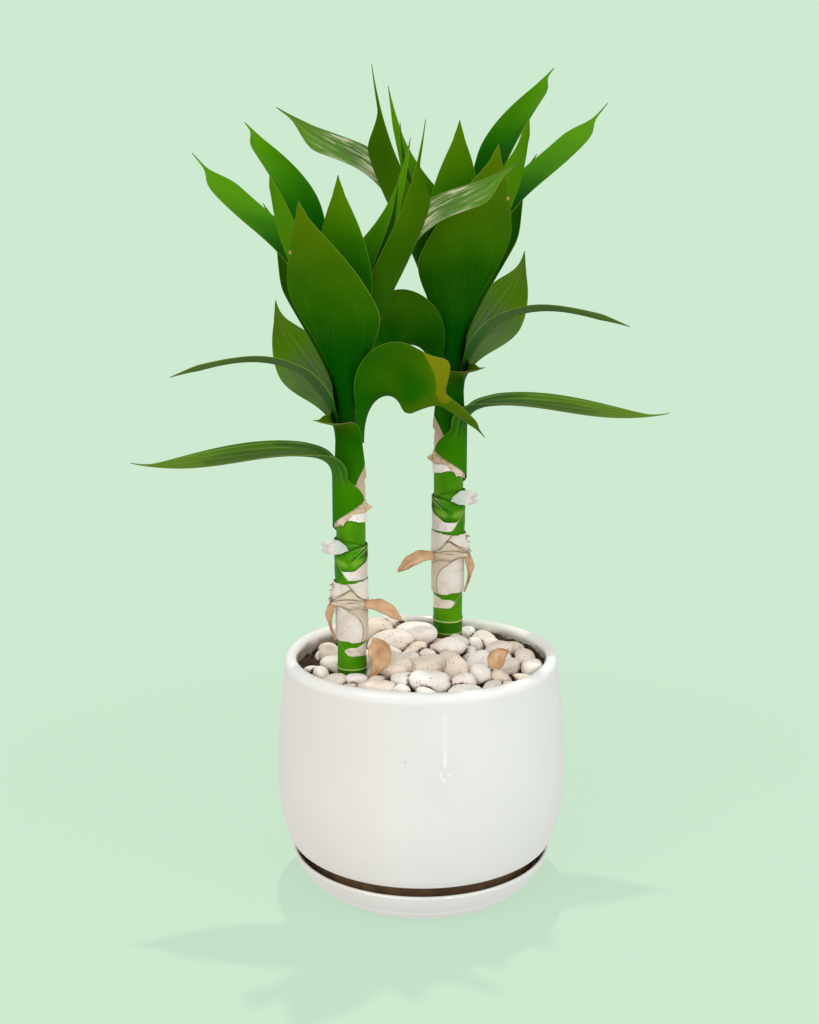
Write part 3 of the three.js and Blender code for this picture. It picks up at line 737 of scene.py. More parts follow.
def pot_coats(finish, place, x, y, z):
    """The coats that only the pot has, and its roughness.

    Its lip is painted whiter as light on its top, and greyer at the back as shade. Its run of glaze is
    painted lighter, partly as thicker glaze and partly as painted highlight, and painted highlights mark the
    drop below it; a pinhole lies beside them. The stepped-in foot is painted dark brown and rougher, and the
    inside wall is painted darker and rougher below the lip.
    """
    # The lip is painted whiter as light on its top, and greyer at the back as shade.
    finish.paint(z.between(118.6, 120.6) * 0.8, tone(249, 249, 246))
    finish.paint(z.between(119, 121) * y.between(30, 62) * 0.6, tone(216, 215, 204))
    front = y.below(-40, 0)
    turn, drop, top = GLAZE_RUN
    aside = x - RUN_RADIUS * math.cos(math.radians(turn))
    rise = z - drop
    # The run is painted lighter: partly thicker glaze, partly painted highlight.
    stripe = aside.near(0, 0.6, 1.6) * rise.within(3, 5, top - drop - 4, top - drop)
    finish.paint(stripe * front * 0.45, tone(246, 250, 246))
    # Painted highlights at the drop: a short line, a crescent and a dot beside it.
    outline = ((aside / 2) ** 2 + (rise / 3) ** 2) ** 0.5
    crescent = outline.near(1, 0.05, 0.3) * (aside * -0.5 - rise * 0.2).between(0.1, 0.7)
    dot = ((aside - 2) ** 2 + rise**2).below(0.1, 0.6)
    shine = aside.near(0, 0.2, 0.7) * rise.within(3.4, 4.4, 6, 11) + crescent + dot
    finish.paint(shine.between(0, 1) * front * 0.85, tone(254, 254, 252))
    pinhole = ((x - PINHOLE[0]) ** 2 + (z - PINHOLE[1]) ** 2) ** 0.5
    finish.paint(pinhole.below(0.15, 0.5) * front * 0.6, tone(120, 118, 108))
    out = (x * x + y * y) ** 0.5
    ragged = (finish.noise(place, 90, 2) - 0.5) * 1.2
    # The stepped-in foot is painted dark brown and made rougher.
    bare = (z + ragged).below(22.6, 24.2) * (out + ragged).below(64.5, 66.5)
    foot_brown = finish.mix(finish.noise(place, 120, 3).between(0.3, 0.7), tone(126, 98, 66), tone(92, 70, 46))
    finish.paint(bare, foot_brown)
    # The inside wall is painted darker below the lip, and rougher.
    inside = out.below(64.2, 65.4) * z.between(104, 107)
    grime = finish.noise(place, 60, 4, 0.6) - 0.5
    inner_darker = inside * (z + grime * 8).below(118, 122.5)
    finish.paint(inner_darker * 0.85, tone(132, 121, 100))
    bank = (x * 0.75 + y * 0.66).between(46, 58)
    crumbs = finish.noise(place, 420, 4, 0.7) - (z + grime * 14).between(115, 123) * 0.35
    finish.paint(crumbs.between(0.42, 0.48) * inside * bank, tone(34, 26, 20))
    return GLAZE_ROUGHNESS + 0.5 * bare + 0.5 * inner_darker


def glaze_finish(name, colour, is_pot):
    """Off-white glaze: glossy and slightly wavy, creamier in clouds, with fine specks; painted warm light at
    the left, cool light at the right.
    """
    finish = Finish(name, IOR=1.5, Coat_Weight=0.7, Coat_Roughness=0.03)
    place = finish.place()
    x, y, z = (number / MM for number in finish.split(place))
    finish.ground(finish.noise(place, 18, 3).between(0.3, 0.7), colour, [0.95 * part for part in colour])
    # Painted light: creamier at the left, where the warm light falls.
    finish.paint(x.below(-75, 15) * 0.5, tone(236, 230, 216))
    specks = finish.cells(place, 55).below(0.015, 0.025) * finish.noise(place, 40, 0).between(0.62, 0.66)
    finish.paint(specks * 0.6, tone(110, 98, 84))
    # Painted light: pale green at the right, where the cool light falls.
    finish.paint(x.between(-7.5, 60) * 0.5, tone(232, 240, 234))
    rough = pot_coats(finish, place, x, y, z) if is_pot else GLAZE_ROUGHNESS
    return finish.done(rough, finish.bump(finish.noise(place, 26, 1), 0.5, 0.35))


def soil_finish():
    """Dark potting soil: crumbs of several browns, matt and rough."""
    finish = Finish("soil", Specular_IOR_Level=0.25)
    place = finish.place()
    crumbs = finish.noise(place, 260, 5, 0.65)
    finish.ground(crumbs.between(0.35, 0.7), tone(38, 26, 19), tone(84, 60, 42))
    finish.paint(finish.cells(place, 330).below(0.05, 0.18) * 0.5, tone(128, 98, 70))
    return finish.done(0.95, finish.bump(crumbs, 1.6))


def pebble_finish(settings):
    """River pebbles: off-white to beige, each its own tint, with clouds, veins, dark specks and pits.

    Brown dirt and painted shade darken their lower sides and the seams between them.
    """
    finish = Finish("pebble", Specular_IOR_Level=0.3)
    place = finish.place()
    tint, speckled, dust = finish.marks("tint", "speckled", "dust")
    cloud = finish.noise(place, 120, 4, 0.6)
    finish.ground(tint, settings.pale, settings.beige)
    finish.paint(cloud.between(0.45, 0.75) * 0.35, tone(226, 210, 190))
    vein = finish.noise(place, 70, 3, 0.6, 1.5).near(0.5, 0.0, 0.02)
    finish.paint(vein * 0.3 * tint, tone(168, 146, 122))
    specks = finish.cells(place, 460).below(0.12, 0.24) * finish.noise(place, 130, 1).between(0.5, 0.6)
    finish.paint(specks * (0.5 + 0.5 * speckled), tone(62, 46, 34))
    pits = finish.noise(place, 700, 3, 0.7).between(0.58, 0.68)
    finish.paint(pits * (0.35 + 0.4 * speckled), tone(140, 116, 92))
    grime = finish.noise(place, 160, 4, 0.7).between(0.35, 0.7)
    # Dirt and painted shade: brown, then near black, on the lower sides and in the seams.
    finish.paint((dust * (0.35 + 0.9 * grime)).between(0.1, 0.85) * 0.85, tone(138, 94, 56))
    finish.paint((dust * (0.7 + 0.5 * grime)).between(0.55, 0.95), tone(58, 34, 18))
    skin = finish.bump(finish.noise(place, 900, 3, 0.6), 0.12)
    return finish.done(0.45 + 0.25 * cloud, finish.bump(finish.noise(place, 150, 2), 0.6, normal=skin))


def leaf_finish(settings):
    """Leaf: deep green at the foot to bright green or olive at the tip, with faint parallel veins.

    It has a painted grey sheen, bleached streaks, a turned corner painted yellow as light shining through it,
    a cream sheath, a thin pale margin, a scar and a dried point where the mesh's marks put them. Its deep
    green at the foot is partly its own colour and partly painted shade.
    """
    finish = Finish("leaf", IOR=1.45, Specular_IOR_Level=0.02)
    along, across = finish.sheet()
    cloud = (finish.noise(finish.place(), 26, 2) - 0.5) * 0.9
    light, fresh, olive, grey, streak = finish.marks("light", "fresh", "olive", "grey", "streak")
    gold, cream, margin, brown, scar = finish.marks("gold", "cream", "margin", "brown", "scar")
    fine = finish.grain(along * 2.2, across * 70, olive * 7, 3, 0.6)
    broad = finish.grain(along * 1.3, across * 22, streak * 5)
    # The deep green at the foot is partly the leaf's own colour and partly painted shade.
    finish.ground((light + cloud).between(0, 1), settings.deep, settings.green)
    finish.paint((fresh + cloud * 0.6).between(0, 1), settings.bright)
    finish.paint((olive + cloud * 0.5).between(0.05, 1), settings.olive)
    # Painted sheen: grey-green where the grey mark lies.
    sheen = finish.grain(along * 3, across * 6, grey * 3, 3, 0.6)
    finish.paint(grey.between(0, 1) * (0.45 + 0.45 * sheen.between(0.3, 0.65)), tone(88, 112, 66))
    finish.paint(fine.between(0.5, 0.8) * 0.12, tone(110, 158, 6))
    finish.paint(fine.below(0.2, 0.5) * 0.12, tone(0, 40, 0))
    pale = broad.within(0.5, 0.6, 0.62, 0.72) * streak * along.between(0.2, 0.4)
    finish.paint(pale * 0.4, tone(140, 162, 104))
    bleached = finish.grain(along * 6, across * 13, streak * 3, 4, 0.65)
    window = along.within(0.3, 0.45, 0.75, 0.92) * streak.between(0.85, 1.0)
    finish.paint(bleached.between(0.5, 0.62) * window * 0.85, tone(206, 204, 168))
    finish.paint(fine.below(0.3, 0.46) * window * 0.8, tone(34, 70, 14))
    # Painted light: the turned-over corner is yellow as light shining through the blade.
    finish.paint((gold + cloud * 0.3).between(0.3, 0.75) * 0.9, tone(126, 132, 14))
    finish.paint(cream.between(0.45, 0.55), tone(196, 170, 148))
    rim = finish.mix(brown * olive.between(0.2, 0.6), settings.margin, tone(150, 122, 78))
    finish.paint(margin.below(0.05, 0.32) * along.between(0.12, 0.3) * 0.7, rim)
    finish.paint(scar.between(0.35, 0.6), tone(206, 160, 96))
    dried = (along + (broad - 0.5) * 0.03).between(0.965, 0.99)
    finish.paint(dried * 0.85, tone(92, 96, 66))
    relief = finish.bump(broad, 0.3, 0.4, finish.bump(fine, 0.06, 0.6))
    return finish.done(0.42 + 0.12 * broad + 0.3 * dried, relief)


def cane_finish(settings):
    """Cane: yellowish green, darker at its foot and cream near its top, with faint lines.

    It has two pale rings low down, a bare cream patch and a thread that runs to it.
    """
    finish = Finish("cane", IOR=1.45, Specular_IOR_Level=0.08)
    place = finish.place()
    height, turn, patch, thread = finish.marks("height_mm", "turn_deg", "patch", "thread")
    cloud = finish.noise(place, 80, 3)
    lines = finish.grain(turn * 0.3, height * 0.05, 0, 3, 0.6)
    finish.ground(cloud.between(0.3, 0.7), settings.cane, tone(86, 152, 4))
    finish.paint(lines.between(0.45, 0.8) * 0.3, tone(104, 160, 12))
    finish.paint(height.below(4.2, 5.2) * 0.75, tone(28, 92, 0))
    finish.paint(height.below(-2.0, -0.8) * 0.85, tone(84, 78, 20))
    wobble = (finish.noise(place, 130, 2) - 0.5) * 0.8
    ring = (height + wobble).near(5.3, 0.25, 0.5)
    finish.paint(ring * 0.9, tone(206, 218, 140))
    finish.paint((height + wobble).near(-1.0, 0.15, 0.4) * 0.6, tone(190, 202, 130))
    bare = (patch + wobble * 0.4).between(-0.1, 0.1)
    wood = finish.noise(place, 240, 3).between(0.35, 0.7)
    finish.paint(bare, finish.mix(wood, tone(236, 230, 218), tone(212, 202, 182)))
    finish.paint((thread + wobble * 0.2).below(0.1, 0.3) * 0.8, tone(196, 208, 130))
    finish.paint(height.between(88, 92), tone(208, 186, 160))
    relief = finish.bump(ring + bare, 0.25, 0.6, finish.bump(lines, 0.15, 0.6))
    return finish.done(0.36 + 0.3 * bare + 0.1 * cloud, relief)


def skin_finish():
    """Green sheath: wrinkled skin, pinched folds, pale streaks and a torn, bare cream patch; painted shade
    and light on its folds, wrinkles and right side.
    """
    finish = Finish("sheath_skin", IOR=1.45, Specular_IOR_Level=0.08)
    place = finish.place()
    height, turn, fold, pale = finish.marks("height_mm", "turn_deg", "fold", "pale")
    patch, thread, margin = finish.marks("patch", "thread", "margin")
    cloud = finish.noise(place, 90, 3)
    fine = finish.noise(place, 420, 3, 0.6)
    lean = finish.grain(turn * 0.02, height * 0.9 - turn * 0.045, 0, 3, 0.6)
    upper = height.between(61, 64)
    finish.ground(cloud.between(0.3, 0.7), tone(44, 114, 0), tone(72, 146, 2))
    # Painted shade: darker green towards the right side.
    finish.paint(turn.between(300, 345) * 0.6, tone(24, 84, 0))
    # Painted shade and light: dark and light diagonal streaks along the wrinkles.
    finish.paint(lean.between(0.5, 0.7) * upper * 0.55, tone(34, 92, 0))
    finish.paint(lean.below(0.3, 0.48) * upper * 0.5, tone(120, 172, 62))
    # Pale patches: partly the sheath's lighter green, partly painted highlight.
    finish.paint((pale + (fine - 0.5) * 1.6).between(-0.9, 1.1) * 0.6, tone(138, 182, 56))
    # Painted shade in the folds' creases, and painted highlight on their raised sides.
    finish.paint(fold.below(0.05, 0.5) * 0.85, tone(26, 74, 0))
    crest_highlight = fold.within(0.5, 0.75, 0.85, 1.2) * turn.between(275, 330)
    finish.paint(crest_highlight * upper * 0.6, tone(196, 210, 130))
    off_spot = (turn - 338).absolute().between(7, 12) + (height - 64.4).absolute().between(1.2, 1.9)
    finish.paint(off_spot.below(0, 1) * 0.9, tone(66, 52, 14))
    wobble = (fine - 0.5) * 0.5
    bare = (patch + wobble).between(-0.08, 0.12)
    inner = finish.mix(turn.between(262, 330), tone(240, 238, 228), tone(220, 208, 196))
    finish.paint(bare, finish.mix(fine.between(0.45, 0.75) * 0.5, inner, tone(196, 182, 164)))
    finish.paint((thread + wobble * 0.3).below(0.12, 0.34) * 0.8, tone(206, 220, 146))
    finish.paint((margin + wobble).below(0.08, 0.35) * 0.7, tone(40, 84, 6))
    relief = finish.bump(fine, 0.12, 0.6, finish.bump(lean * upper, 0.5, 0.7))
    return finish.done(0.36 + 0.35 * bare, relief)


def husk_finish():
    """Dry sheath: cream paper with fine length fibres and dotted grey mould, and painted shade in its folds
    and over its laps.
    """
    finish = Finish("husk", Specular_IOR_Level=0.2)
    place = finish.place()
    height, turn, fold, lap, margin = finish.marks("height_mm", "turn_deg", "fold", "lap", "margin")
    cloud = finish.noise(place, 90, 4, 0.6)
    fibres = finish.grain(turn * 0.9, height * 0.12, 0, 4, 0.7)
    finish.ground(cloud.between(0.35, 0.75), tone(240, 235, 225), tone(222, 210, 192))
    # Painted shade: tan over the lapped parts.
    finish.paint((lap + (cloud - 0.5) * 1.5).between(-0.2, 0.9) * 0.6, tone(210, 194, 162))
    finish.paint(fibres.between(0.55, 0.8) * 0.3, tone(178, 156, 126))
    # Painted shade: brown in the fold lines, and in a soft band beside the sheath's fold.
    finish.paint((fold + (cloud - 0.5) * 0.6).below(0.1, 0.55) * 0.75, tone(126, 104, 76))
    fold_shade = fold.below(0.3, 2.0) * height.between(34, 38) * cloud.between(0.4, 0.65)
    finish.paint(fold_shade * 0.4, tone(176, 144, 104))
    dots = finish.cells(place, 800).below(0.12, 0.3) * finish.noise(place, 160, 2).between(0.42, 0.62)
    finish.paint(dots * 0.7, tone(112, 96, 76))
    finish.paint(margin.below(0.1, 0.6) * 0.5, tone(186, 164, 132))
    return finish.done(0.8, finish.bump(cloud, 0.8, 0.5, finish.bump(fibres, 0.25, 0.7)))


def band_finish():
    """Papery band: white and smooth in its lower part, tan and mottled above, torn at both edges."""
    finish = Finish("papery_band", Specular_IOR_Level=0.2)
    place = finish.place()
    turn, patch, margin = finish.marks("turn_deg", "patch", "margin")
    cloud = finish.noise(place, 200, 4, 0.65)
    dots = finish.cells(place, 700).below(0.15, 0.34)
    finish.ground(turn.between(225, 275), tone(236, 222, 202), tone(216, 192, 158))
    finish.paint(cloud.between(0.45, 0.65) * 0.75, tone(176, 142, 102))
    finish.paint(dots * 0.8, tone(126, 94, 58))
    white = finish.mix(cloud.between(0.4, 0.8), tone(251, 247, 239), tone(226, 214, 196))
    finish.paint((patch + (cloud - 0.5) * 1.6).between(-0.3, 0.4), white)
    finish.paint(margin.below(0.05, 0.35) * 0.4, tone(240, 232, 214))
    return finish.done(0.8, finish.bump(cloud + dots * 0.4, 0.6, 0.8))


def dry_finish():
    """Dead leaf: smooth tan, with faint length veins, browner along its rim, and darker in its hollows as
    painted shade.
    """
    finish = Finish("dry_leaf", Specular_IOR_Level=0.2)
    along, across = finish.sheet()
    deep, margin = finish.marks("deep", "margin")
    cloud = finish.noise(finish.place(), 110, 3)
    veins = finish.grain(along * 3, across * 22, 0, 3, 0.6)
    finish.ground(cloud.between(0.3, 0.7), tone(228, 191, 152), tone(207, 166, 127))
    # Painted shade: darker in the hollows of the crumpled face.
    finish.paint(deep.between(-0.6, 2.4) * 0.45, tone(150, 106, 70))
    finish.paint(veins.between(0.45, 0.7) * 0.4, tone(160, 120, 82))
    finish.paint(margin.below(0.1, 0.7) * 0.35, tone(132, 94, 60))
    return finish.done(0.7, finish.bump(cloud, 0.8, 0.4, finish.bump(veins, 0.3, 0.6)))


def tuft_finish():
    """Torn skin: thin grey-white paper, smooth at its root and crumpled at its loose end."""
    finish = Finish("papery_tuft", Specular_IOR_Level=0.25)
    along, _ = finish.sheet()
    folds = finish.noise(finish.place(), 260, 3, 0.6, 0.6)
    finish.ground(along.between(0.2, 0.9), tone(198, 212, 196), tone(236, 232, 228))
    finish.paint(folds.between(0.5, 0.75) * 0.4, tone(182, 176, 166))
    return finish.done(0.6, finish.bump(folds, 0.6, 0.6))


def fibre_finish():
    """Loose sheath fibres: dull straw."""
    finish = Finish("fibre", Specular_IOR_Level=0.2)
    shade = finish.noise(finish.place(), 300, 3).between(0.3, 0.7)
    finish.ground(shade, tone(198, 176, 140), tone(138, 112, 80))
    return finish.done(0.8)


def plant_points(points, plant):
    """Points of a plant's own frame, mirrored, scaled and put where its cane stands."""
    return points * (plant.mirror * plant.size, plant.size, plant.size) + (plant.x, plant.y, plant.ground)


def plant_shell(name, middle, thickness, marks, plant):
    """A thin wall round a grid of points of a plant's own frame."""
    middle = plant_points(middle, plant)
    return shell(f"{name}_{plant.side}", middle, thickness, marks, flip=plant.mirror < 0)


def leaf_midrib(leaf, u, foot):
    """Points and directions along a midrib: straight up the cane for the leaf's grip, then a cubic curve."""
    bends_at = foot + (0, 0, leaf.grip)
    tip = np.array(leaf.tip, float)
    bearing = math.degrees(math.atan2(tip[1] - foot[1], tip[0] - foot[0])) + leaf.veer
    start = heading(leaf.face, 90 - leaf.lean)
    end = heading(bearing, leaf.dip)
    path = (bends_at, bends_at + start * leaf.rise, tip - end * leaf.reach, tip)
    share = leaf.grip / (leaf.grip + np.linalg.norm(tip - bends_at))
    on_curve = (u[:, 0] - share) / (1 - share)
    points, tangent = cubic(path, np.maximum(on_curve, 0))
    if leaf.grip:
        climbing = (on_curve < 0)[:, None]
        points = np.where(climbing, foot + (bends_at - foot) * u / share, points)
        tangent = np.where(climbing, (0.0, 0.0, 1.0), tangent)
    return points, tangent


def leaf_hold(leaf, t):
    """Half the angle that a leaf's foot takes round the cane, narrower as it lets go."""
    clasp = math.radians(leaf.clasp)
    release = np.clip(t / leaf.sheath, 0, 1) if leaf.clasp > 90 else ease(t / leaf.sheath)
    return clasp + (min(clasp, 1.0) - clasp) * release


def leaf_widths(leaf, u, v, foot_radius):
    """Half widths of a blade: of its clockwise side where v is below 0, of its other side elsewhere.

    A side opens at the foot, grows to its widest place, falls off as a power and narrows to a strip past
    its corner. A running mean smooths it, and the cube root of a sum of cubes joins it to a cone.
    """
    let_go = leaf.sheath * LET_GO
    even = np.linspace(0, 1, 401)
    window = np.hanning(41) / np.hanning(41).sum()

    def side_width(half, widest, corner, slimmer):
        """One side's half width; its slimmer stretches lose up to 15 %."""
        opening = leaf_hold(leaf, even) * foot_radius
        opening = opening + (half - opening) * ease((even - let_go) / (widest - let_go))
        fall = 1 - np.clip((even - widest) / (1 - leaf.spike - widest), 0, 1) ** leaf.taper
        blade = np.where(even < widest, opening, half * fall**1.2) * (1 - 0.15 * slimmer)
        blade = blade + (np.minimum(blade, BLADE_STRIP) - blade) * ease((even - corner) / 0.05)
        blade = np.convolve(np.pad(blade, 20, mode="edge"), window, mode="valid")
        blade = blade * ease((1 - even) / (1.2 * leaf.spike)) ** 0.5
        cone = leaf.point * np.clip((1 - even) / leaf.spike, 0, 1.6) ** 1.15
        return np.interp(u, even, (blade**3 + cone**3) ** (1 / 3) + 0.12)

    before = even - leaf.corner
    bay = np.exp(-(((before + 0.075) / 0.07) ** 2)) - 0.6 * np.exp(-((before / 0.035) ** 2))
    waist = ease((even - leaf.notch + 0.2) / 0.22)
    clockwise = side_width((leaf.width + leaf.extra) / 2, leaf.widest + leaf.later, leaf.corner,
                           bay * (leaf.corner < 1))
    other = side_width(leaf.width / 2, leaf.widest, leaf.notch, waist * (leaf.notch < 1))
    return np.where(v < 0, clockwise, other)


def leaf_marks(leaf, u, v, half_width):
    """What the leaf's material takes from its mesh, by the place along it, across it and its width there."""

    def along(stops):
        """A value that runs from the foot's to the middle's to the tip's."""
        return np.interp(u, (0.1, 0.5, 0.92), stops)

    past = u - leaf.corner
    turned_over = ease((past + 0.12 - 0.15 * (v + 1)) / 0.04) * (1 - ease((past - 0.07) / 0.06))
    spot = leaf.gold * np.exp(-(((u - 0.55) / 0.1) ** 2 + ((v - 0.2) / 0.55) ** 2))
    scar = np.exp(-(((u - 0.62) / 0.018) ** 2 + ((v + 0.95) / 0.06) ** 2))
    return {
        "margin": half_width * (1 - np.abs(v)),
        "light": along(leaf.light) + 0.15 * spot,
        "fresh": along(leaf.fresh),
        "olive": along(leaf.olive) * (1 - spot),
        "grey": np.maximum(along(leaf.grey), 0),
        "streak": leaf.streak,
        "gold": leaf.gold * turned_over,
        "cream": leaf.cream * (1 - ease((u - 0.53 * (v - 0.54)) / 0.03 + 0.5)),
        "brown": leaf.brown,
        "scar": scar * (leaf.name == SCARRED_LEAF),
    }


def leaf_sheet(leaf, rows, columns):
    """A leaf's middle surface and its marks.

    Across the midrib lies an arc of a circle, which hugs the cane at the foot and opens to a shallow
    hollow; the blade rolls about its midrib, and its margins ripple.
    """
    u = (np.linspace(0, 1, rows) ** leaf.crowd)[:, None]
    v = np.linspace(-1, 1, columns)[None, :]
    foot_radius = cane_radius(leaf.base) + GAP + CAD_BLADE / 2 + leaf.layer * LAYER
    points, tangent = leaf_midrib(leaf, u, heading(leaf.face) * foot_radius + (0, 0, leaf.base))
    sideways = heading(leaf.face + 90)
    side = unit(sideways - tangent * (tangent @ sideways)[:, None])
    inward = np.cross(tangent, side)
    roll = np.radians(leaf.bank * ease(u / 0.5) + leaf.twist * ease((u - 0.45) / 0.55))
    across = side * np.cos(roll) + inward * np.sin(roll)
    hollow = inward * np.cos(roll) - side * np.sin(roll)

    hold = leaf_hold(leaf, u)
    bend = hold + (math.radians(leaf.cup) - hold) * ease((u - leaf.sheath * LET_GO) / 0.3)
    half_width = leaf_widths(leaf, u, v, foot_radius)
    radius = half_width / bend
    phase = 2 * math.pi * leaf.waves * u + np.where(v > 0, 1.6, 0.0)
    ripple = leaf.wave * np.sin(phase) * v * v * ease((u - 0.25) / 0.3)
    lift = radius * (1 - np.cos(v * bend)) + 2 * ripple * half_width / leaf.width
    sheet = points[:, None] + across[:, None] * (radius * np.sin(v * bend))[..., None]
    sheet = sheet + hollow[:, None] * lift[..., None]
    sheet[..., 2] += leaf.slant * v * (1 - ease(u / 0.25))
    return sheet, leaf_marks(leaf, u, v, half_width)


def leaf_mesh(leaf, plant):
    """A leaf as a closed blade, thin and thinner still at its margins."""
    sheet, marks = leaf_sheet(leaf, *(SHEATH_BLADE_GRID if leaf.clasp > 90 else BLADE_GRID))
    thickness = BLADE_MARGIN + (BLADE_MIDDLE - BLADE_MARGIN) * ease(marks["margin"] / 2.0)
    return plant_shell(f"blade_{leaf.name}", sheet, thickness, marks, plant)


def torn(v, seed, depth):
    """A ragged edge: a few coarse and many fine waves of seeded phase, at most about the depth."""
    draw = np.random.default_rng(seed)
    total = 0.0
    for pitch, share in ((5, 0.45), (13, 0.3), (31, 0.2), (67, 0.15)):
        total = total + share * np.sin(pitch * v + draw.uniform(0, 6.28))
    return depth * total


def line_height(line, turn):
    """The height of a line of (angle, height) points at each angle."""
    angles, heights = zip(*line)
    return np.interp(turn, angles, heights)


def off_line(line, turn, height, closed=False):
    """Distance in mm to a line of (angle, height) points drawn on the stalk, with its corners rounded.

    It is the least of the distances to its straight pieces, with angles taken as lengths round the cane.
    For a closed line it is above 0 inside: where a ray to one side crosses the line an odd number of times.
    """
    wide = math.radians(STALK_RADIUS)
    points = smooth_line(line, 4) * (wide, 1)
    if closed:
        points = np.vstack([points, points[:1]])
    ax, ay = points[:-1].T[..., None, None]
    bx, by = points[1:].T[..., None, None]
    x, y = np.broadcast_arrays(turn * wide, height)
    run, rise = bx - ax, by - ay
    share = np.clip(((x - ax) * run + (y - ay) * rise) / (run**2 + rise**2 + 1e-9), 0, 1)
    distance = np.hypot(x - ax - share * run, y - ay - share * rise).min(0)
    if not closed:
        return distance
    level = np.where(rise == 0, 1, rise)
    crossed = ((ay > y) != (by > y)) & (x < ax + (y - ay) * run / level)
    return np.where(crossed.sum(0) % 2 == 1, distance, -distance)


def nearest_line(lines, turn, height):
    """Distance in mm to the nearest of several lines."""
    return np.min([off_line(line, turn, height) for line in lines] or [9 + 0 * height], axis=0)


def deepest_patch(patches, turn, height):
    """How deep in mm a point lies inside the nearest of several closed lines; below 0 outside them."""
    return np.max([off_line(line, turn, height, True) for line in patches] or [-9 + 0 * height], axis=0)


def stand_off(bulges, turn, height):
    """How far bulges lift a sheath off the cane: bell curves of the angle and the height."""
    return sum(reach * np.exp(-(((turn - angle) / round_by) ** 2) - ((height - middle) / up_by) ** 2)
               for angle, middle, round_by, up_by, reach in bulges)


def on_stalk(radius, turn, height):
    """Points at a radius, a compass angle and a height."""
    angle = np.radians(turn)
    return np.stack([radius * np.cos(angle), radius * np.sin(angle), height], axis=-1)


def wrap_mesh(wrap, plant, seed):
    """An old sheath: a strip round the cane between its two edges, with one end over the other at the back.

    Its folds are grooves with a raised side, as bell curves of the distance to their lines; its laps stand
    a little proud, its bare patches lie lower, and its bulges stand off.
    """
    rows, columns = WRAP_GRID
    u = np.linspace(0, 1, rows)[:, None]
    v = np.linspace(-1, 1, columns)[None, :]
    start, end = wrap.low[0][0], wrap.low[-1][0]
    turn = start + (end - start) * (v + 1) / 2
    bottom = line_height(wrap.low, turn) + torn(v, seed, wrap.ragged)
    top = line_height(wrap.high, turn) + torn(v, seed + 1, wrap.ragged)
    height = bottom + (top - bottom) * u
    turn = np.broadcast_to(turn, height.shape)
    fold = nearest_line(wrap.folds, turn, height)
    patch = deepest_patch(wrap.patches, turn, height)
    lap = deepest_patch(wrap.laps, turn, height)
    radius = CANE_RADIUS + GAP + CAD_BLADE / 2 + wrap.layer + stand_off(wrap.bulges, turn, height)
    radius = radius + wrap.crumple * np.maximum(field(turn * 0.14, height, seed + 2, 7), -0.5)
    radius = radius - 0.16 * np.exp(-((fold / 0.3) ** 2)) + 0.12 * np.exp(-(((fold - 0.8) / 0.45) ** 2))
    radius = radius + 0.2 * ease(lap / 0.5) - 0.12 * ease(patch / 0.3) + 0.6 * ease((turn - start - 355) / 8)
    marks = {
        "height_mm": height,
        "turn_deg": turn,
        "fold": fold,
        "patch": patch,
        "lap": lap,
        "pale": deepest_patch(wrap.pale, turn, height),
        "margin": np.minimum(height - bottom, top - height),
    }
    if wrap.look == "skin":
        marks["thread"] = off_line(FLAP_THREAD, turn, height)
    return plant_shell(f"{wrap.name}_fine", on_stalk(radius, turn, height), WRAP_THICKNESS, marks, plant)


def scrap_sheet(scrap, rows, columns, seed):
    """A dry strip: points across a cubic path, with lifted edges, a torn outline and a crumpled face."""
    u = np.linspace(0, 1, rows)[:, None]
    v = np.linspace(-1, 1, columns)[None, :]
    points, tangent = cubic(scrap.path, u[:, 0])
    across = unit(np.cross(np.asarray(scrap.normal, float), tangent))
    lift = np.cross(tangent, across)
    stops = smooth_line([(stop,) for stop in scrap.shape], 8)[:, 0]
    half = scrap.wide / 2 * np.interp(u, np.linspace(0, 1, len(stops)), stops)
    left = half + torn(u * 4, seed, scrap.ragged)
    right = half + torn(u * 4, seed + 1, scrap.ragged)
    reach = np.where(v < 0, left, right) * v
    rough = scrap.crumple[0] + (scrap.crumple[1] - scrap.crumple[0]) * ease((u - 0.4) / 0.5)
    place = u * scrap.wide * 2.4, v * scrap.wide
    folds = field(*place, seed + 2, scrap.wide * 1.3)
    folds = folds + 0.5 * (0.5 - np.abs(field(*place, seed + 3, scrap.wide * 1.2)))
    rise = scrap.curl * v * v * np.sin(math.pi * u * 0.9 + 0.2) + rough * folds
    sheet = points[:, None] + across[:, None] * reach[..., None] + lift[:, None] * rise[..., None]
    return sheet, {"margin": half * (1 - np.abs(v)), "deep": -folds}


def strand(path):
    """Rings of points along a curve through the path's points, for a fibre that tapers to its ends."""
    line = smooth_line(path, max(2, FIBRE_STEPS // (len(path) - 1)))
    tangent = unit(np.gradient(line, axis=0))
    first = unit(np.cross(tangent, (0.0, 0.0, 1.0)))
    second = np.cross(tangent, first)
    turn = even_turns(FIBRE_SIDES)[..., None]
    thin = FIBRE_THICKNESS / 2 * np.sin(np.linspace(0.08, math.pi - 0.08, len(line))) ** 0.4
    ring = first[:, None] * np.cos(turn) + second[:, None] * np.sin(turn)
    return line[:, None] + ring * thin[:, None, None]


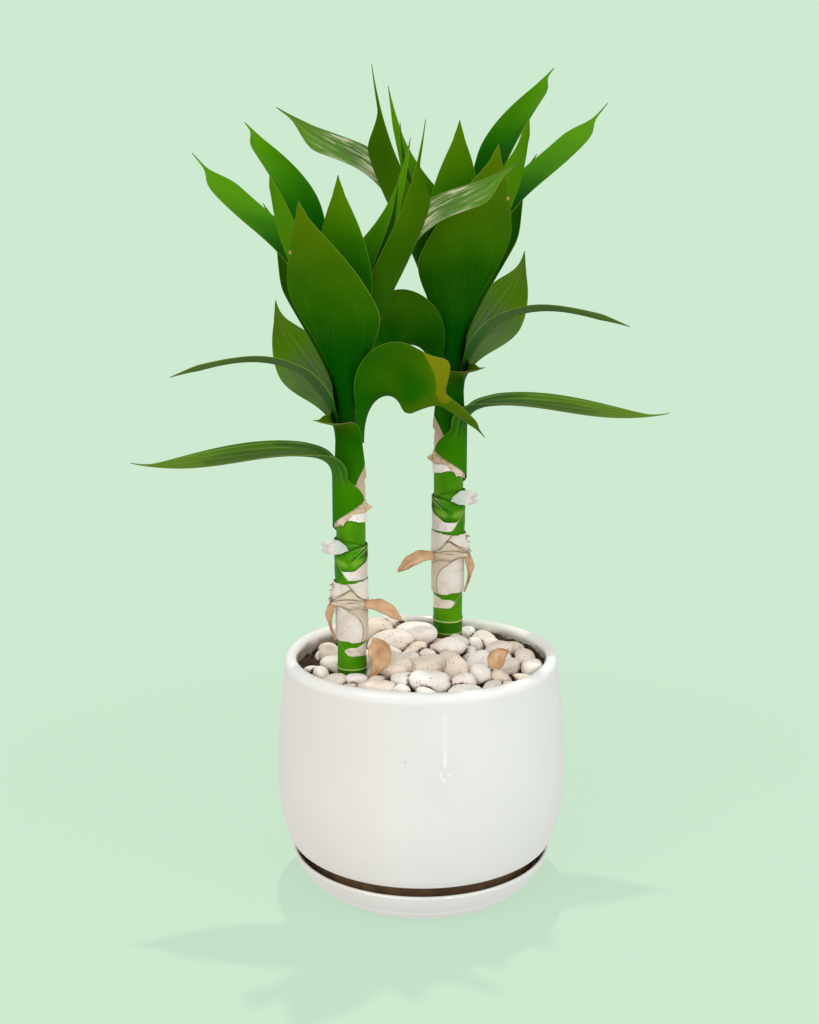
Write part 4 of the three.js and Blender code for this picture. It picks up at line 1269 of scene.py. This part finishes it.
def strands_mesh(name, paths, plant):
    """Several fibres in one mesh, each a tube whose ends are closed by fans from one of their points."""
    points, quads, triangles, offset = [], [], [], 0
    fan = np.arange(1, FIBRE_SIDES - 1)
    for path in paths:
        rings = strand(path)
        last = (len(rings) - 1) * FIBRE_SIDES
        points.append(rings.reshape(-1, 3))
        quads.append(ring_faces(len(rings), FIBRE_SIDES)[0] + offset)
        triangles.append(np.stack([0 * fan, fan + 1, fan], axis=-1) + offset)
        triangles.append(np.stack([0 * fan, fan, fan + 1], axis=-1) + offset + last)
        offset += len(points[-1])
    points = plant_points(np.concatenate(points), plant)
    return write_mesh(name, points, np.concatenate(quads), np.concatenate(triangles), flip=plant.mirror < 0)


def collar_fibres(plant):
    """Straw fibres along the knot's folds, a little in front of the husk collar, and hairs at its side."""
    paths = []
    draw = np.random.default_rng(5)
    for _ in range(COLLAR_HAIRS):
        angle, height = math.radians(draw.uniform(186, 212)), draw.uniform(38, 49.5)
        root = STALK_RADIUS + stand_off(COLLAR_BULGES[:1], COLLAR_BULGES[0][0], height)
        out = np.array([math.cos(angle), math.sin(angle), 0.0])
        hair = out * draw.uniform(0.8, 1.8) + draw.normal(0, 0.5, 3)
        paths.append(out * root + (0, 0, height) + np.linspace(0, 1, 5)[:, None] * hair)
    for line in FIBRE_LINES:
        turn, height = smooth_line(line, 3).T
        paths.append(on_stalk(FIBRE_RADIUS + stand_off(COLLAR_BULGES, turn, height), turn, height))
    return strands_mesh(f"collar_fibres_{plant.side}", paths, plant)


def cane_mesh(plant):
    """A cane: rings up its height, with a low swelling at its ring and a slight unevenness."""
    foot = (CANE_FOOT - plant.ground) / plant.size
    level = np.concatenate([[foot], np.linspace(-8, 100, 160), np.linspace(102, CANE_TOP, 40)])[:, None]
    turn, height = np.broadcast_arrays(np.linspace(0, 360, CANE_STEPS, endpoint=False)[None, :], level)
    swelling = 0.35 * np.exp(-(((height - NODE_RING) / 0.8) ** 2))
    uneven = 0.12 * field(height, turn * 0.1, 5, 30) * ease((14 - np.abs(height - 10)) / 6)
    points = on_stalk(cane_radius(height) + swelling + uneven, turn, height).reshape(-1, 3)
    points = np.concatenate([points, [[0, 0, foot], [0, 0, CANE_TOP]]])
    beyond = np.where(turn < 90, turn + 360, turn)
    marks = {
        "height_mm": (height, foot, CANE_TOP),
        "turn_deg": (turn, 0, 0),
        "patch": (off_line(CANE_PATCH, beyond, height, True), -9, -9),
        "thread": (off_line(CANE_THREAD, beyond, height), 9, 9),
    }
    marks = {mark: np.append(values, poles) for mark, (values, *poles) in marks.items()}
    quads, triangles = ring_faces(*height.shape)
    name = f"cane_fine_{plant.side}"
    return write_mesh(name, plant_points(points, plant), quads, triangles, marks=marks, flip=plant.mirror < 0)


def bed_level(x, y):
    """The pebbles' middle height: a low dome with a heap towards the back left."""
    heap = math.exp(-((x + 8) ** 2 + (y - 36) ** 2) / 1000)
    return 114 + 3 * (1 - (x * x + y * y) / 4000) + 4 * heap


def scattered_pebbles():
    """The marked pebbles, then the rest along a spiral with seeded changes, where there is room."""
    seed = 11

    def draw(low, high):
        nonlocal seed
        seed = (seed * 1664525 + 1013904223) % 2**32
        return low + (high - low) * seed / 2**32

    placed = [tuple(map(float, pebble)) for pebble in MARKED_PEBBLES]
    for i in range(PEBBLE_COUNT):
        away = PEBBLE_FIELD * math.sqrt((i + 0.5) / PEBBLE_COUNT)
        x = away * math.cos(i * SPIRAL_TURN) + draw(-2, 2)
        y = away * math.sin(i * SPIRAL_TURN) + draw(-2, 2)
        length = draw(11, 13) + draw(0, 7)
        width = length * draw(0.6, 0.85)
        height = length * draw(0.5, 0.7)
        z = max(bed_level(x, y) + draw(-1.5, 1), BED_BOTTOM + height / 2)
        turn = draw(0, 180)
        apart = all(math.hypot(x - p[0], y - p[1]) > 0.2 * (p[3] + p[4] + length + width) - 2.6
                    for p in placed)
        beside = all(math.hypot(x - p.x, y - p.y) > CANE_RADIUS + width / 2 for p in PLANTS)
        if apart and beside and math.hypot(x, y) + length / 2 < PEBBLE_ROOM:
            placed.append((x, y, z, length, width, height, turn))
    return np.array(placed)


def settle(pebbles):
    """Pushes overlapping pebbles apart, and holds them in the pot, off the canes and near their places.

    Each pebble is an ellipsoid; its reach in a direction is the length of the direction's components times
    its half axes. Two overlap where their centres are closer than their reaches along the line between.
    """
    home = pebbles[:, :3]
    at = home.copy()
    half = pebbles[:, 3:6] / 2
    turn = np.radians(pebbles[:, 6])
    lean = np.random.default_rng(3).uniform(-0.45, 0.45, (2, len(pebbles)))
    lean[:, :len(MARKED_PEBBLES)] *= 0.2
    long = unit(np.stack([np.cos(turn), np.sin(turn), lean[0]], axis=-1))
    up = unit(np.cross(long, np.stack([-np.sin(turn), np.cos(turn), lean[1]], axis=-1)))
    axes = np.stack([long, np.cross(up, long), up], axis=1)
    free = np.where(np.arange(len(pebbles)) < len(MARKED_PEBBLES), 0.3, 1.0)[:, None]
    own = np.eye(len(pebbles), dtype=bool)
    for _ in range(SETTLE_ROUNDS):
        gap = at[:, None] - at[None]
        distance = np.linalg.norm(gap, axis=-1) + 1e-9
        way = gap / distance[..., None]
        reach = np.sqrt((np.einsum("ijk,iak->ija", way, axes) ** 2 * half[:, None] ** 2).sum(-1))
        overlap = np.where(own, 0, np.maximum(SETTLE_TOUCH * (reach + reach.T) - distance, 0))
        push = (way * overlap[..., None]).sum(1) * SETTLE_PUSH
        at = at + push * free * (1, 1, 0.8) + (home - at) * SETTLE_RETURN
        for plant in PLANTS:
            off = at[:, :2] - (plant.x, plant.y)
            near = np.linalg.norm(off, axis=1)
            least = CANE_RADIUS * plant.size + 0.45 * pebbles[:, 4]
            at[:, :2] += off / near[:, None] * np.maximum(least - near, 0)[:, None]
        out = np.linalg.norm(at[:, :2], axis=1)
        most = SETTLE_ROOM - half[:, 0] * 0.95
        at[:, :2] *= np.minimum(1, most / out)[:, None]
        roof = BED_ROOF + 4.5 * np.exp(-((at[:, 0] + 18) ** 2 + (at[:, 1] - 34) ** 2) / 400)
        at[:, 2] = np.clip(at[:, 2], BED_BOTTOM + half[:, 2] + 1, roof - half[:, 2])
    return at, half, axes


def pebbles_mesh():
    """All pebbles in one mesh: each an ellipsoid with flattened and lumpy faces, and its own tint.

    A pebble's seam is the least distance to its neighbours' ellipsoids; dirt and painted shade lie there and
    low down.
    """
    at, half, axes = settle(scattered_pebbles())
    count = len(at)
    draw = np.random.default_rng(7)
    polar = np.linspace(0, math.pi, PEBBLE_RINGS)[1:-1, None]
    turn = even_turns(PEBBLE_SIDES)
    ball = np.broadcast_arrays(np.sin(polar) * np.cos(turn), np.sin(polar) * np.sin(turn), np.cos(polar))
    ball = np.concatenate([np.stack(ball, axis=-1).reshape(-1, 3), [[0, 0, 1], [0, 0, -1]]])
    each = len(ball)
    square = draw.uniform(1.9, 3.3, (count, 1))
    lengths = (np.abs(ball)[None] ** square[..., None]).sum(-1) ** (-1 / square)
    for _ in range(3):
        lean = unit(draw.normal(size=(count, 3)))
        phase = draw.uniform(0, 6.28, (count, 1))
        swell = draw.uniform(0.02, 0.12, (count, 1))
        lengths = lengths + swell * np.sin(2.4 * (ball @ lean.T).T + phase)
    taper = draw.uniform(-0.32, 0.32, (count, 1))
    shape = ball[None] * lengths[..., None]
    shape[..., 1:] *= (1 + taper * shape[..., 0])[..., None]
    points = np.einsum("nkd,nda->nka", shape * half[:, None], axes) + at[:, None]
    quads, triangles = ring_faces(PEBBLE_RINGS - 2, PEBBLE_SIDES)
    shift = (np.arange(count) * each)[:, None, None]
    quads = (quads[None, :, [0, 3, 2, 1]] + shift).reshape(-1, 4)
    triangles = (triangles[None, :, [0, 2, 1]] + shift).reshape(-1, 3)
    tint = draw.uniform(0, 1, count) ** 2
    speckled = draw.uniform(0, 1, count) ** 3
    seam = np.full((count, each), 9.0)
    for number in range(count):
        local = (points - at[number]) @ axes[number].T / half[number]
        away = (np.linalg.norm(local, axis=-1) - 1) * half[number].mean()
        away[number] = 9.0
        seam = np.minimum(seam, away)
    # Dirt and painted shade: near the seams and low down.
    dirt_and_shade = draw.uniform(0.6, 1.2, count)[:, None] * (1 - ease((seam - 0.3) / 3.2))
    dust = np.clip(1 - ease((points[..., 2] - 113.5) / 5) + dirt_and_shade, 0, 1)
    marks = {"tint": np.repeat(tint, each), "speckled": np.repeat(speckled, each), "dust": dust}
    return write_mesh("pebbles", points.reshape(-1, 3), quads, triangles, marks=marks, sharp=80)


def soil_mesh():
    """The soil: its sides inside the pot's wall, and a crumbly top."""
    side = smooth_line(SOIL_SIDE, 6)
    top = np.linspace(side[-1, 0], HUB, SOIL_RINGS)
    radius = np.concatenate([[1.0], side[:, 0], top])[:, None]
    level = np.concatenate([[SOIL_FOOT], side[:, 1], np.full(SOIL_RINGS, SOIL_TOP)])[:, None]
    turn = even_turns(SOIL_STEPS)
    x, y = radius * np.cos(turn), radius * np.sin(turn)
    crumbs = 0.5 * field(x, y, 21, 9) + 0.3 * field(x, y, 22, 3.5)
    on_top = (np.arange(len(radius)) > len(side))[:, None]
    return turned("soil_crumbs", radius, level + np.where(on_top, np.minimum(crumbs, 0.2) - 0.3, 0), turn)


def grit_mesh():
    """Dark grit between the pebbles: a rough disc that rises where it meets the wall at the back."""
    upper = np.append(np.linspace(HUB, GRIT_ROOM, GRIT_RINGS), GRIT_EDGE)
    radius = np.concatenate([upper, [GRIT_ROOM], np.linspace(60, HUB, 12)])[:, None]
    turn = even_turns(GRIT_STEPS)
    x, y = radius * np.cos(turn), radius * np.sin(turn)
    crumbs = 0.8 * field(x, y, 31, 11) + 0.5 * field(x, y, 32, 4) + 0.3 * field(x, y, 33, 1.8)
    bank = 3.0 * ease((radius - 52) / 12) * ease(np.cos(turn - math.radians(55)) * 2 - 0.6)
    under = (np.arange(len(radius)) >= len(upper))[:, None]
    height = np.where(under, BED_BOTTOM, GRIT_LEVEL + crumbs + bank)
    return turned("grit", radius[::-1], height[::-1], turn)


def glazed(name, sections, uneven=False, closed=True):
    """A glazed vessel turned from joined outline sections.

    An uneven one has a slightly wavy rim and wall, and a thin run of glaze stands out down its front, as a
    bell curve across with a drop at its end. The run lies on the sections before the last two.
    """
    outline = np.vstack(sections)
    radius, height = outline[:, :1], outline[:, 1:]
    if not uneven:
        return turned(name, radius, height, even_turns(VESSEL_STEPS), closed, sharp=35)
    run, low, top = math.radians(GLAZE_RUN[0]), *GLAZE_RUN[1:]
    turn = even_turns(VESSEL_STEPS, run)
    high = ease((height - 90) / 30)
    radius = radius + high * (0.35 * np.sin(2 * turn + 0.7) + 0.15 * np.sin(5 * turn))
    lip = 0.3 * np.sin(3 * turn + 1.1) + 0.15 * np.sin(7 * turn + 2)
    height = height + high * lip * ease((height - 112) / 8)
    outer = np.arange(len(outline))[:, None] < len(outline) - len(sections[-1]) - len(sections[-2])
    across = (turn - run) * radius
    ends = ease((height - low) / 3) * (1 - ease((height - top + 5) / 5))
    thread = 0.4 * np.exp(-((across / 1.2) ** 2)) * ends
    drop = 0.6 * np.exp(-((across / 1.7) ** 2) - (((height - low) / 2.4) ** 2))
    return turned(name, radius + outer * (thread + drop), height, turn, closed, sharp=35)


def pot_mesh():
    """The pot: foot, stepped-in base, curved side, round lip, inside wall and drain hole."""
    angle = np.linspace(0, math.pi, 17)
    lip = np.stack([LIP_RADIUS + LIP_ROUND * np.cos(angle), LIP_HEIGHT + LIP_ROUND * np.sin(angle)], axis=-1)
    side = smooth_line([*POT_EDGE, *POT_SIDE, tuple(lip[0])], 10)[:-1]
    inside = smooth_line([tuple(lip[-1]), *POT_INSIDE], 8)[1:]
    drain = [(DRAIN_RADIUS + 0.6, FLOOR_TOP), (DRAIN_RADIUS, FLOOR_TOP - 0.6), (DRAIN_RADIUS, FOOT_HEIGHT)]
    return glazed("pot_glazed", [[POT_FOOT], POT_STEP, side, lip, inside, drain], uneven=True)


def saucer_mesh():
    """The saucer: flat foot, flared side, rounded rim and a flat floor inside."""
    side = smooth_line(SAUCER_SIDE, 6)[:-1]
    lip = smooth_line([SAUCER_SIDE[-1], *SAUCER_LIP], 5)
    inside = smooth_line(SAUCER_INSIDE, 6)
    floor = (1.0, SAUCER_INSIDE[-1][1])
    return glazed("saucer_glazed", [[(1.0, 0.0)], side, lip, inside, [floor]], closed=False)


def place_in_scene(name, data, location=(0, 0, 0), turn=(0, 0, 0)):
    """An object for the stage's data, linked into the scene."""
    thing = bpy.data.objects.new(name, data)
    thing.location, thing.rotation_euler = location, turn
    bpy.context.scene.collection.objects.link(thing)
    return thing


def area_light(name, location, target, size, power, colour=(1.0, 1.0, 1.0)):
    """A rectangular soft light of that width and height, turned to its target, in metres and watts."""
    lamp = bpy.data.lights.new(name, "AREA")
    lamp.shape = "RECTANGLE"
    lamp.size, lamp.size_y = size
    lamp.energy = power
    lamp.color = colour
    facing = (Vector(target) - Vector(location)).to_track_quat("-Z", "Y").to_euler()
    place_in_scene(name, lamp, location, facing)


def floor_mesh():
    """The floor and backdrop in one sheet: flat, then a quarter circle up, then a wall."""
    run = np.linspace(FLOOR_FRONT, FLOOR_BACK, 10)
    bend = np.linspace(0, math.pi / 2, 24)[1:]
    y = np.concatenate([run, FLOOR_BACK + BACKDROP_BEND * np.sin(bend), [FLOOR_BACK + BACKDROP_BEND]])
    z = np.concatenate([0 * run, BACKDROP_BEND * (1 - np.cos(bend)), [BACKDROP_TOP]])
    x = np.linspace(-FLOOR_HALF, FLOOR_HALF, 9)
    points = np.stack(np.broadcast_arrays(x[None, :], y[:, None], z[:, None]), axis=-1)
    return write_mesh("floor", points.reshape(-1, 3), grid_quads(len(y), len(x)))


def floor_finish(colour, glow):
    """Plain matt paper that gives its own light, and takes the lamps' light and shadow only near the pot."""
    finish = Finish("floor", Specular_IOR_Level=0.0)
    x, y, _ = finish.split(finish.place())
    away = ((x * x + y * y) ** 0.5).between(0.25, 0.5)
    own = finish.mix(away, [part * glow for part in colour], colour)
    finish.feed(finish.shader.inputs["Emission Color"], own)
    finish.feed(finish.shader.inputs["Emission Strength"], 1.0)
    finish.ground(away, [part * (1 - glow) * FLOOR_PAINT for part in colour], (0, 0, 0))
    return finish.done(1.0)


def colour_property(name, description, screen):
    """A colour setting whose default is given as 0 to 255 on screen."""
    return bpy.props.FloatVectorProperty(
        name=name, description=description, subtype="COLOR", size=3, min=0, max=1, default=tone(*screen))


class StageSettings(bpy.types.PropertyGroup):
    """Camera, lights and floor."""

    focal_length: bpy.props.FloatProperty(
        name="Focal length", description="The camera's focal length", default=45.7, subtype="DISTANCE_CAMERA")
    pitch: bpy.props.FloatProperty(
        name="Pitch", description="How far the camera looks down", default=math.radians(11.3),
        subtype="ANGLE")
    camera_at: bpy.props.FloatVectorProperty(
        name="Camera place", description="Where the camera stands", default=(-0.0061, -0.6507, 0.3276),
        subtype="TRANSLATION", unit="LENGTH")
    key_power: bpy.props.FloatProperty(
        name="Key light", description="Power of the large light at the left", default=8.5, unit="POWER")
    fill_power: bpy.props.FloatProperty(
        name="Fill light", description="Power of the large light at the right", default=5.0, unit="POWER")
    window_power: bpy.props.FloatProperty(
        name="Window light", description="Power of the small light that the glaze mirrors", default=1.2,
        unit="POWER")
    overhead_strength: bpy.props.FloatProperty(
        name="Overhead light", description="Strength of the light that casts the shadow", default=1.2, min=0)
    floor_glow: bpy.props.FloatProperty(
        name="Floor glow", description="Share of the floor's brightness that is its own", default=0.68,
        min=0, max=1, subtype="FACTOR")
    floor: colour_property("Floor", "Colour of the plain floor", (206, 235, 209))


class PotSettings(bpy.types.PropertyGroup):
    """Pot and saucer."""

    glaze: colour_property("Glaze", "Colour of the glaze", (237, 237, 233))


class PebbleSettings(bpy.types.PropertyGroup):
    """Pebbles."""

    pale: colour_property("Pale pebble", "Colour of the palest pebbles", (253, 248, 241))
    beige: colour_property("Beige pebble", "Colour of the brownest pebbles", (236, 221, 203))


class PlantSettings(bpy.types.PropertyGroup):
    """Leaves and canes."""

    deep: colour_property("Deep green", "Leaf colour near the foot", (0, 74, 0))
    green: colour_property("Green", "Leaf colour along the blade", (34, 112, 0))
    bright: colour_property("Fresh green", "Leaf colour of the fresh leaves", (88, 154, 2))
    olive: colour_property("Olive", "Leaf colour towards the tip", (84, 118, 0))
    margin: colour_property("Margin", "Colour of a leaf's thin edge", (122, 148, 52))
    cane: colour_property("Cane", "Colour of the cane's skin", (62, 134, 0))


class BambooPiece:
    """What the operators share: they can be undone."""

    bl_options = {"REGISTER", "UNDO"}


class BAMBOO_OT_stage(BambooPiece, bpy.types.Operator):
    """Make the floor, the lights and the camera"""

    bl_idname = "bamboo.stage"
    bl_label = "Stage"

    def execute(self, context):
        scene, settings = context.scene, context.scene.bamboo_stage
        floor = place_in_scene("floor", floor_mesh())
        floor.data.materials.append(floor_finish(settings.floor, settings.floor_glow))
        floor.visible_diffuse = False
        floor.visible_glossy = False
        middle = (0, 0, 0.2)
        area_light("key", (-0.9, -1.3, 1.0), middle, (1.1, 1.3), settings.key_power, (1.0, 0.97, 0.93))
        area_light("fill", (1.2, -1.0, 0.7), middle, (1.0, 1.4), settings.fill_power, (0.95, 0.98, 1.0))
        area_light("window", (0.42, -0.95, 0.62), (0, 0, 0.1), (0.10, 0.34), settings.window_power)
        overhead = bpy.data.lights.new("overhead", "SUN")
        overhead.energy = settings.overhead_strength
        overhead.angle = math.radians(1.6)
        place_in_scene("overhead", overhead, turn=(-0.25, 0, 0))
        scene.world = bpy.data.worlds.new("studio")
        scene.world.use_nodes = True
        background = scene.world.node_tree.nodes["Background"].inputs
        background["Color"].default_value = (1.0, 1.0, 0.98, 1)
        background["Strength"].default_value = WORLD_STRENGTH
        lens = bpy.data.cameras.new("camera")
        lens.lens = settings.focal_length
        lens.sensor_width = 36.0
        lens.clip_start, lens.clip_end = 0.01, 20.0
        tilt = (math.pi / 2 - settings.pitch, 0, 0)
        scene.camera = place_in_scene("camera", lens, settings.camera_at, tilt)
        scene.view_settings.view_transform = "Standard"
        return {"FINISHED"}


class BAMBOO_OT_pot(BambooPiece, bpy.types.Operator):
    """Make the glazed pot and its saucer"""

    bl_idname = "bamboo.pot"
    bl_label = "Pot and saucer"

    def execute(self, context):
        glaze = context.scene.bamboo_pot.glaze
        show(pot_mesh(), glaze_finish("pot_glaze", glaze, is_pot=True), ["pot"])
        show(saucer_mesh(), glaze_finish("saucer_glaze", glaze, is_pot=False), ["saucer"])
        return {"FINISHED"}


class BAMBOO_OT_soil(BambooPiece, bpy.types.Operator):
    """Make the soil and the grit between the pebbles"""

    bl_idname = "bamboo.soil"
    bl_label = "Soil"

    def execute(self, context):
        finish = soil_finish()
        show(soil_mesh(), finish, ["soil"])
        show(grit_mesh(), finish)
        return {"FINISHED"}


class BAMBOO_OT_pebbles(BambooPiece, bpy.types.Operator):
    """Make the pebbles"""

    bl_idname = "bamboo.pebbles"
    bl_label = "Pebbles"

    def execute(self, context):
        show(pebbles_mesh(), pebble_finish(context.scene.bamboo_pebbles), ["pebble_bed"])
        return {"FINISHED"}


class BAMBOO_OT_canes(BambooPiece, bpy.types.Operator):
    """Make the canes"""

    bl_idname = "bamboo.canes"
    bl_label = "Canes"

    def execute(self, context):
        finish = cane_finish(context.scene.bamboo_plant)
        for plant in PLANTS:
            show(cane_mesh(plant), finish, [f"cane_{plant.side}"])
        return {"FINISHED"}


class BAMBOO_OT_sheaths(BambooPiece, bpy.types.Operator):
    """Make the old sheaths round the canes and their loose fibres"""

    bl_idname = "bamboo.sheaths"
    bl_label = "Sheaths"

    def execute(self, context):
        looks = {
            "husk": (husk_finish(), "husk"),
            "skin": (skin_finish(), "cane"),
            "band": (band_finish(), "husk"),
        }
        fibre = fibre_finish()
        for plant in PLANTS:
            for number, wrap in enumerate(WRAPS):
                finish, slot = looks[wrap.look]
                mesh = wrap_mesh(wrap, plant, WRAP_SEED + 10 * number)
                show(mesh, finish, [f"{wrap.name}_{plant.side}"])
            show(collar_fibres(plant), fibre)
        return {"FINISHED"}


class BAMBOO_OT_scraps(BambooPiece, bpy.types.Operator):
    """Make the dry scraps on the canes and the fallen leaves"""

    bl_idname = "bamboo.scraps"
    bl_label = "Dry scraps"

    def execute(self, context):
        dry, tuft = dry_finish(), tuft_finish()
        for number, scrap in enumerate(SCRAPS):
            sheet, marks = scrap_sheet(scrap, *SCRAP_GRID, SCRAP_SEED + 10 * number)
            finish, slot = (tuft, "husk") if scrap.look == "tuft" else (dry, "dry")
            for plant in PLANTS:
                mesh = plant_shell(f"{scrap.name}_fine", sheet, SCRAP_THICKNESS, marks, plant)
                show(mesh, finish, [f"{scrap.name}_{plant.side}"])
        for number, scrap in enumerate(FALLEN):
            sheet, marks = scrap_sheet(scrap, *FALLEN_GRID, FALLEN_SEED + 10 * number)
            show(shell(f"{scrap.name}_fine", sheet, FALLEN_THICKNESS, marks), dry, [scrap.name])
        return {"FINISHED"}


class BAMBOO_OT_leaves(BambooPiece, bpy.types.Operator):
    """Make the leaves"""

    bl_idname = "bamboo.leaves"
    bl_label = "Leaves"

    def execute(self, context):
        finish = leaf_finish(context.scene.bamboo_plant)
        for plant in PLANTS:
            for leaf in LEAVES:
                show(leaf_mesh(leaf, plant), finish, [f"leaf_{leaf.name}_{plant.side}"])
        return {"FINISHED"}


GROUPS = {
    "bamboo_stage": StageSettings,
    "bamboo_pot": PotSettings,
    "bamboo_pebbles": PebbleSettings,
    "bamboo_plant": PlantSettings,
}
OPERATORS = (
    BAMBOO_OT_stage, BAMBOO_OT_pot, BAMBOO_OT_soil, BAMBOO_OT_pebbles,
    BAMBOO_OT_canes, BAMBOO_OT_sheaths, BAMBOO_OT_scraps, BAMBOO_OT_leaves,
)


class BAMBOO_PT_sidebar(bpy.types.Panel):
    """The bamboo's settings, and a button for each group of pieces"""

    bl_label = "Lucky Bamboo"
    bl_idname = "BAMBOO_PT_sidebar"
    bl_space_type = "VIEW_3D"
    bl_region_type = "UI"
    bl_category = "Bamboo"

    def draw(self, context):
        for group, kind in GROUPS.items():
            settings = getattr(context.scene, group)
            for name in kind.__annotations__:
                self.layout.prop(settings, name)
        for operator in OPERATORS:
            self.layout.operator(operator.bl_idname)


def register():
    for kind in (*GROUPS.values(), *OPERATORS, BAMBOO_PT_sidebar):
        bpy.utils.register_class(kind)
    for group, kind in GROUPS.items():
        setattr(bpy.types.Scene, group, bpy.props.PointerProperty(type=kind))


def unregister():
    for group in GROUPS:
        delattr(bpy.types.Scene, group)
    for kind in (BAMBOO_PT_sidebar, *reversed(OPERATORS), *GROUPS.values()):
        bpy.utils.unregister_class(kind)


def main():
    register()
    for operator in OPERATORS:
        group, action = operator.bl_idname.split(".")
        getattr(getattr(bpy.ops, group), action)()


if __name__ == "__main__":
    main()
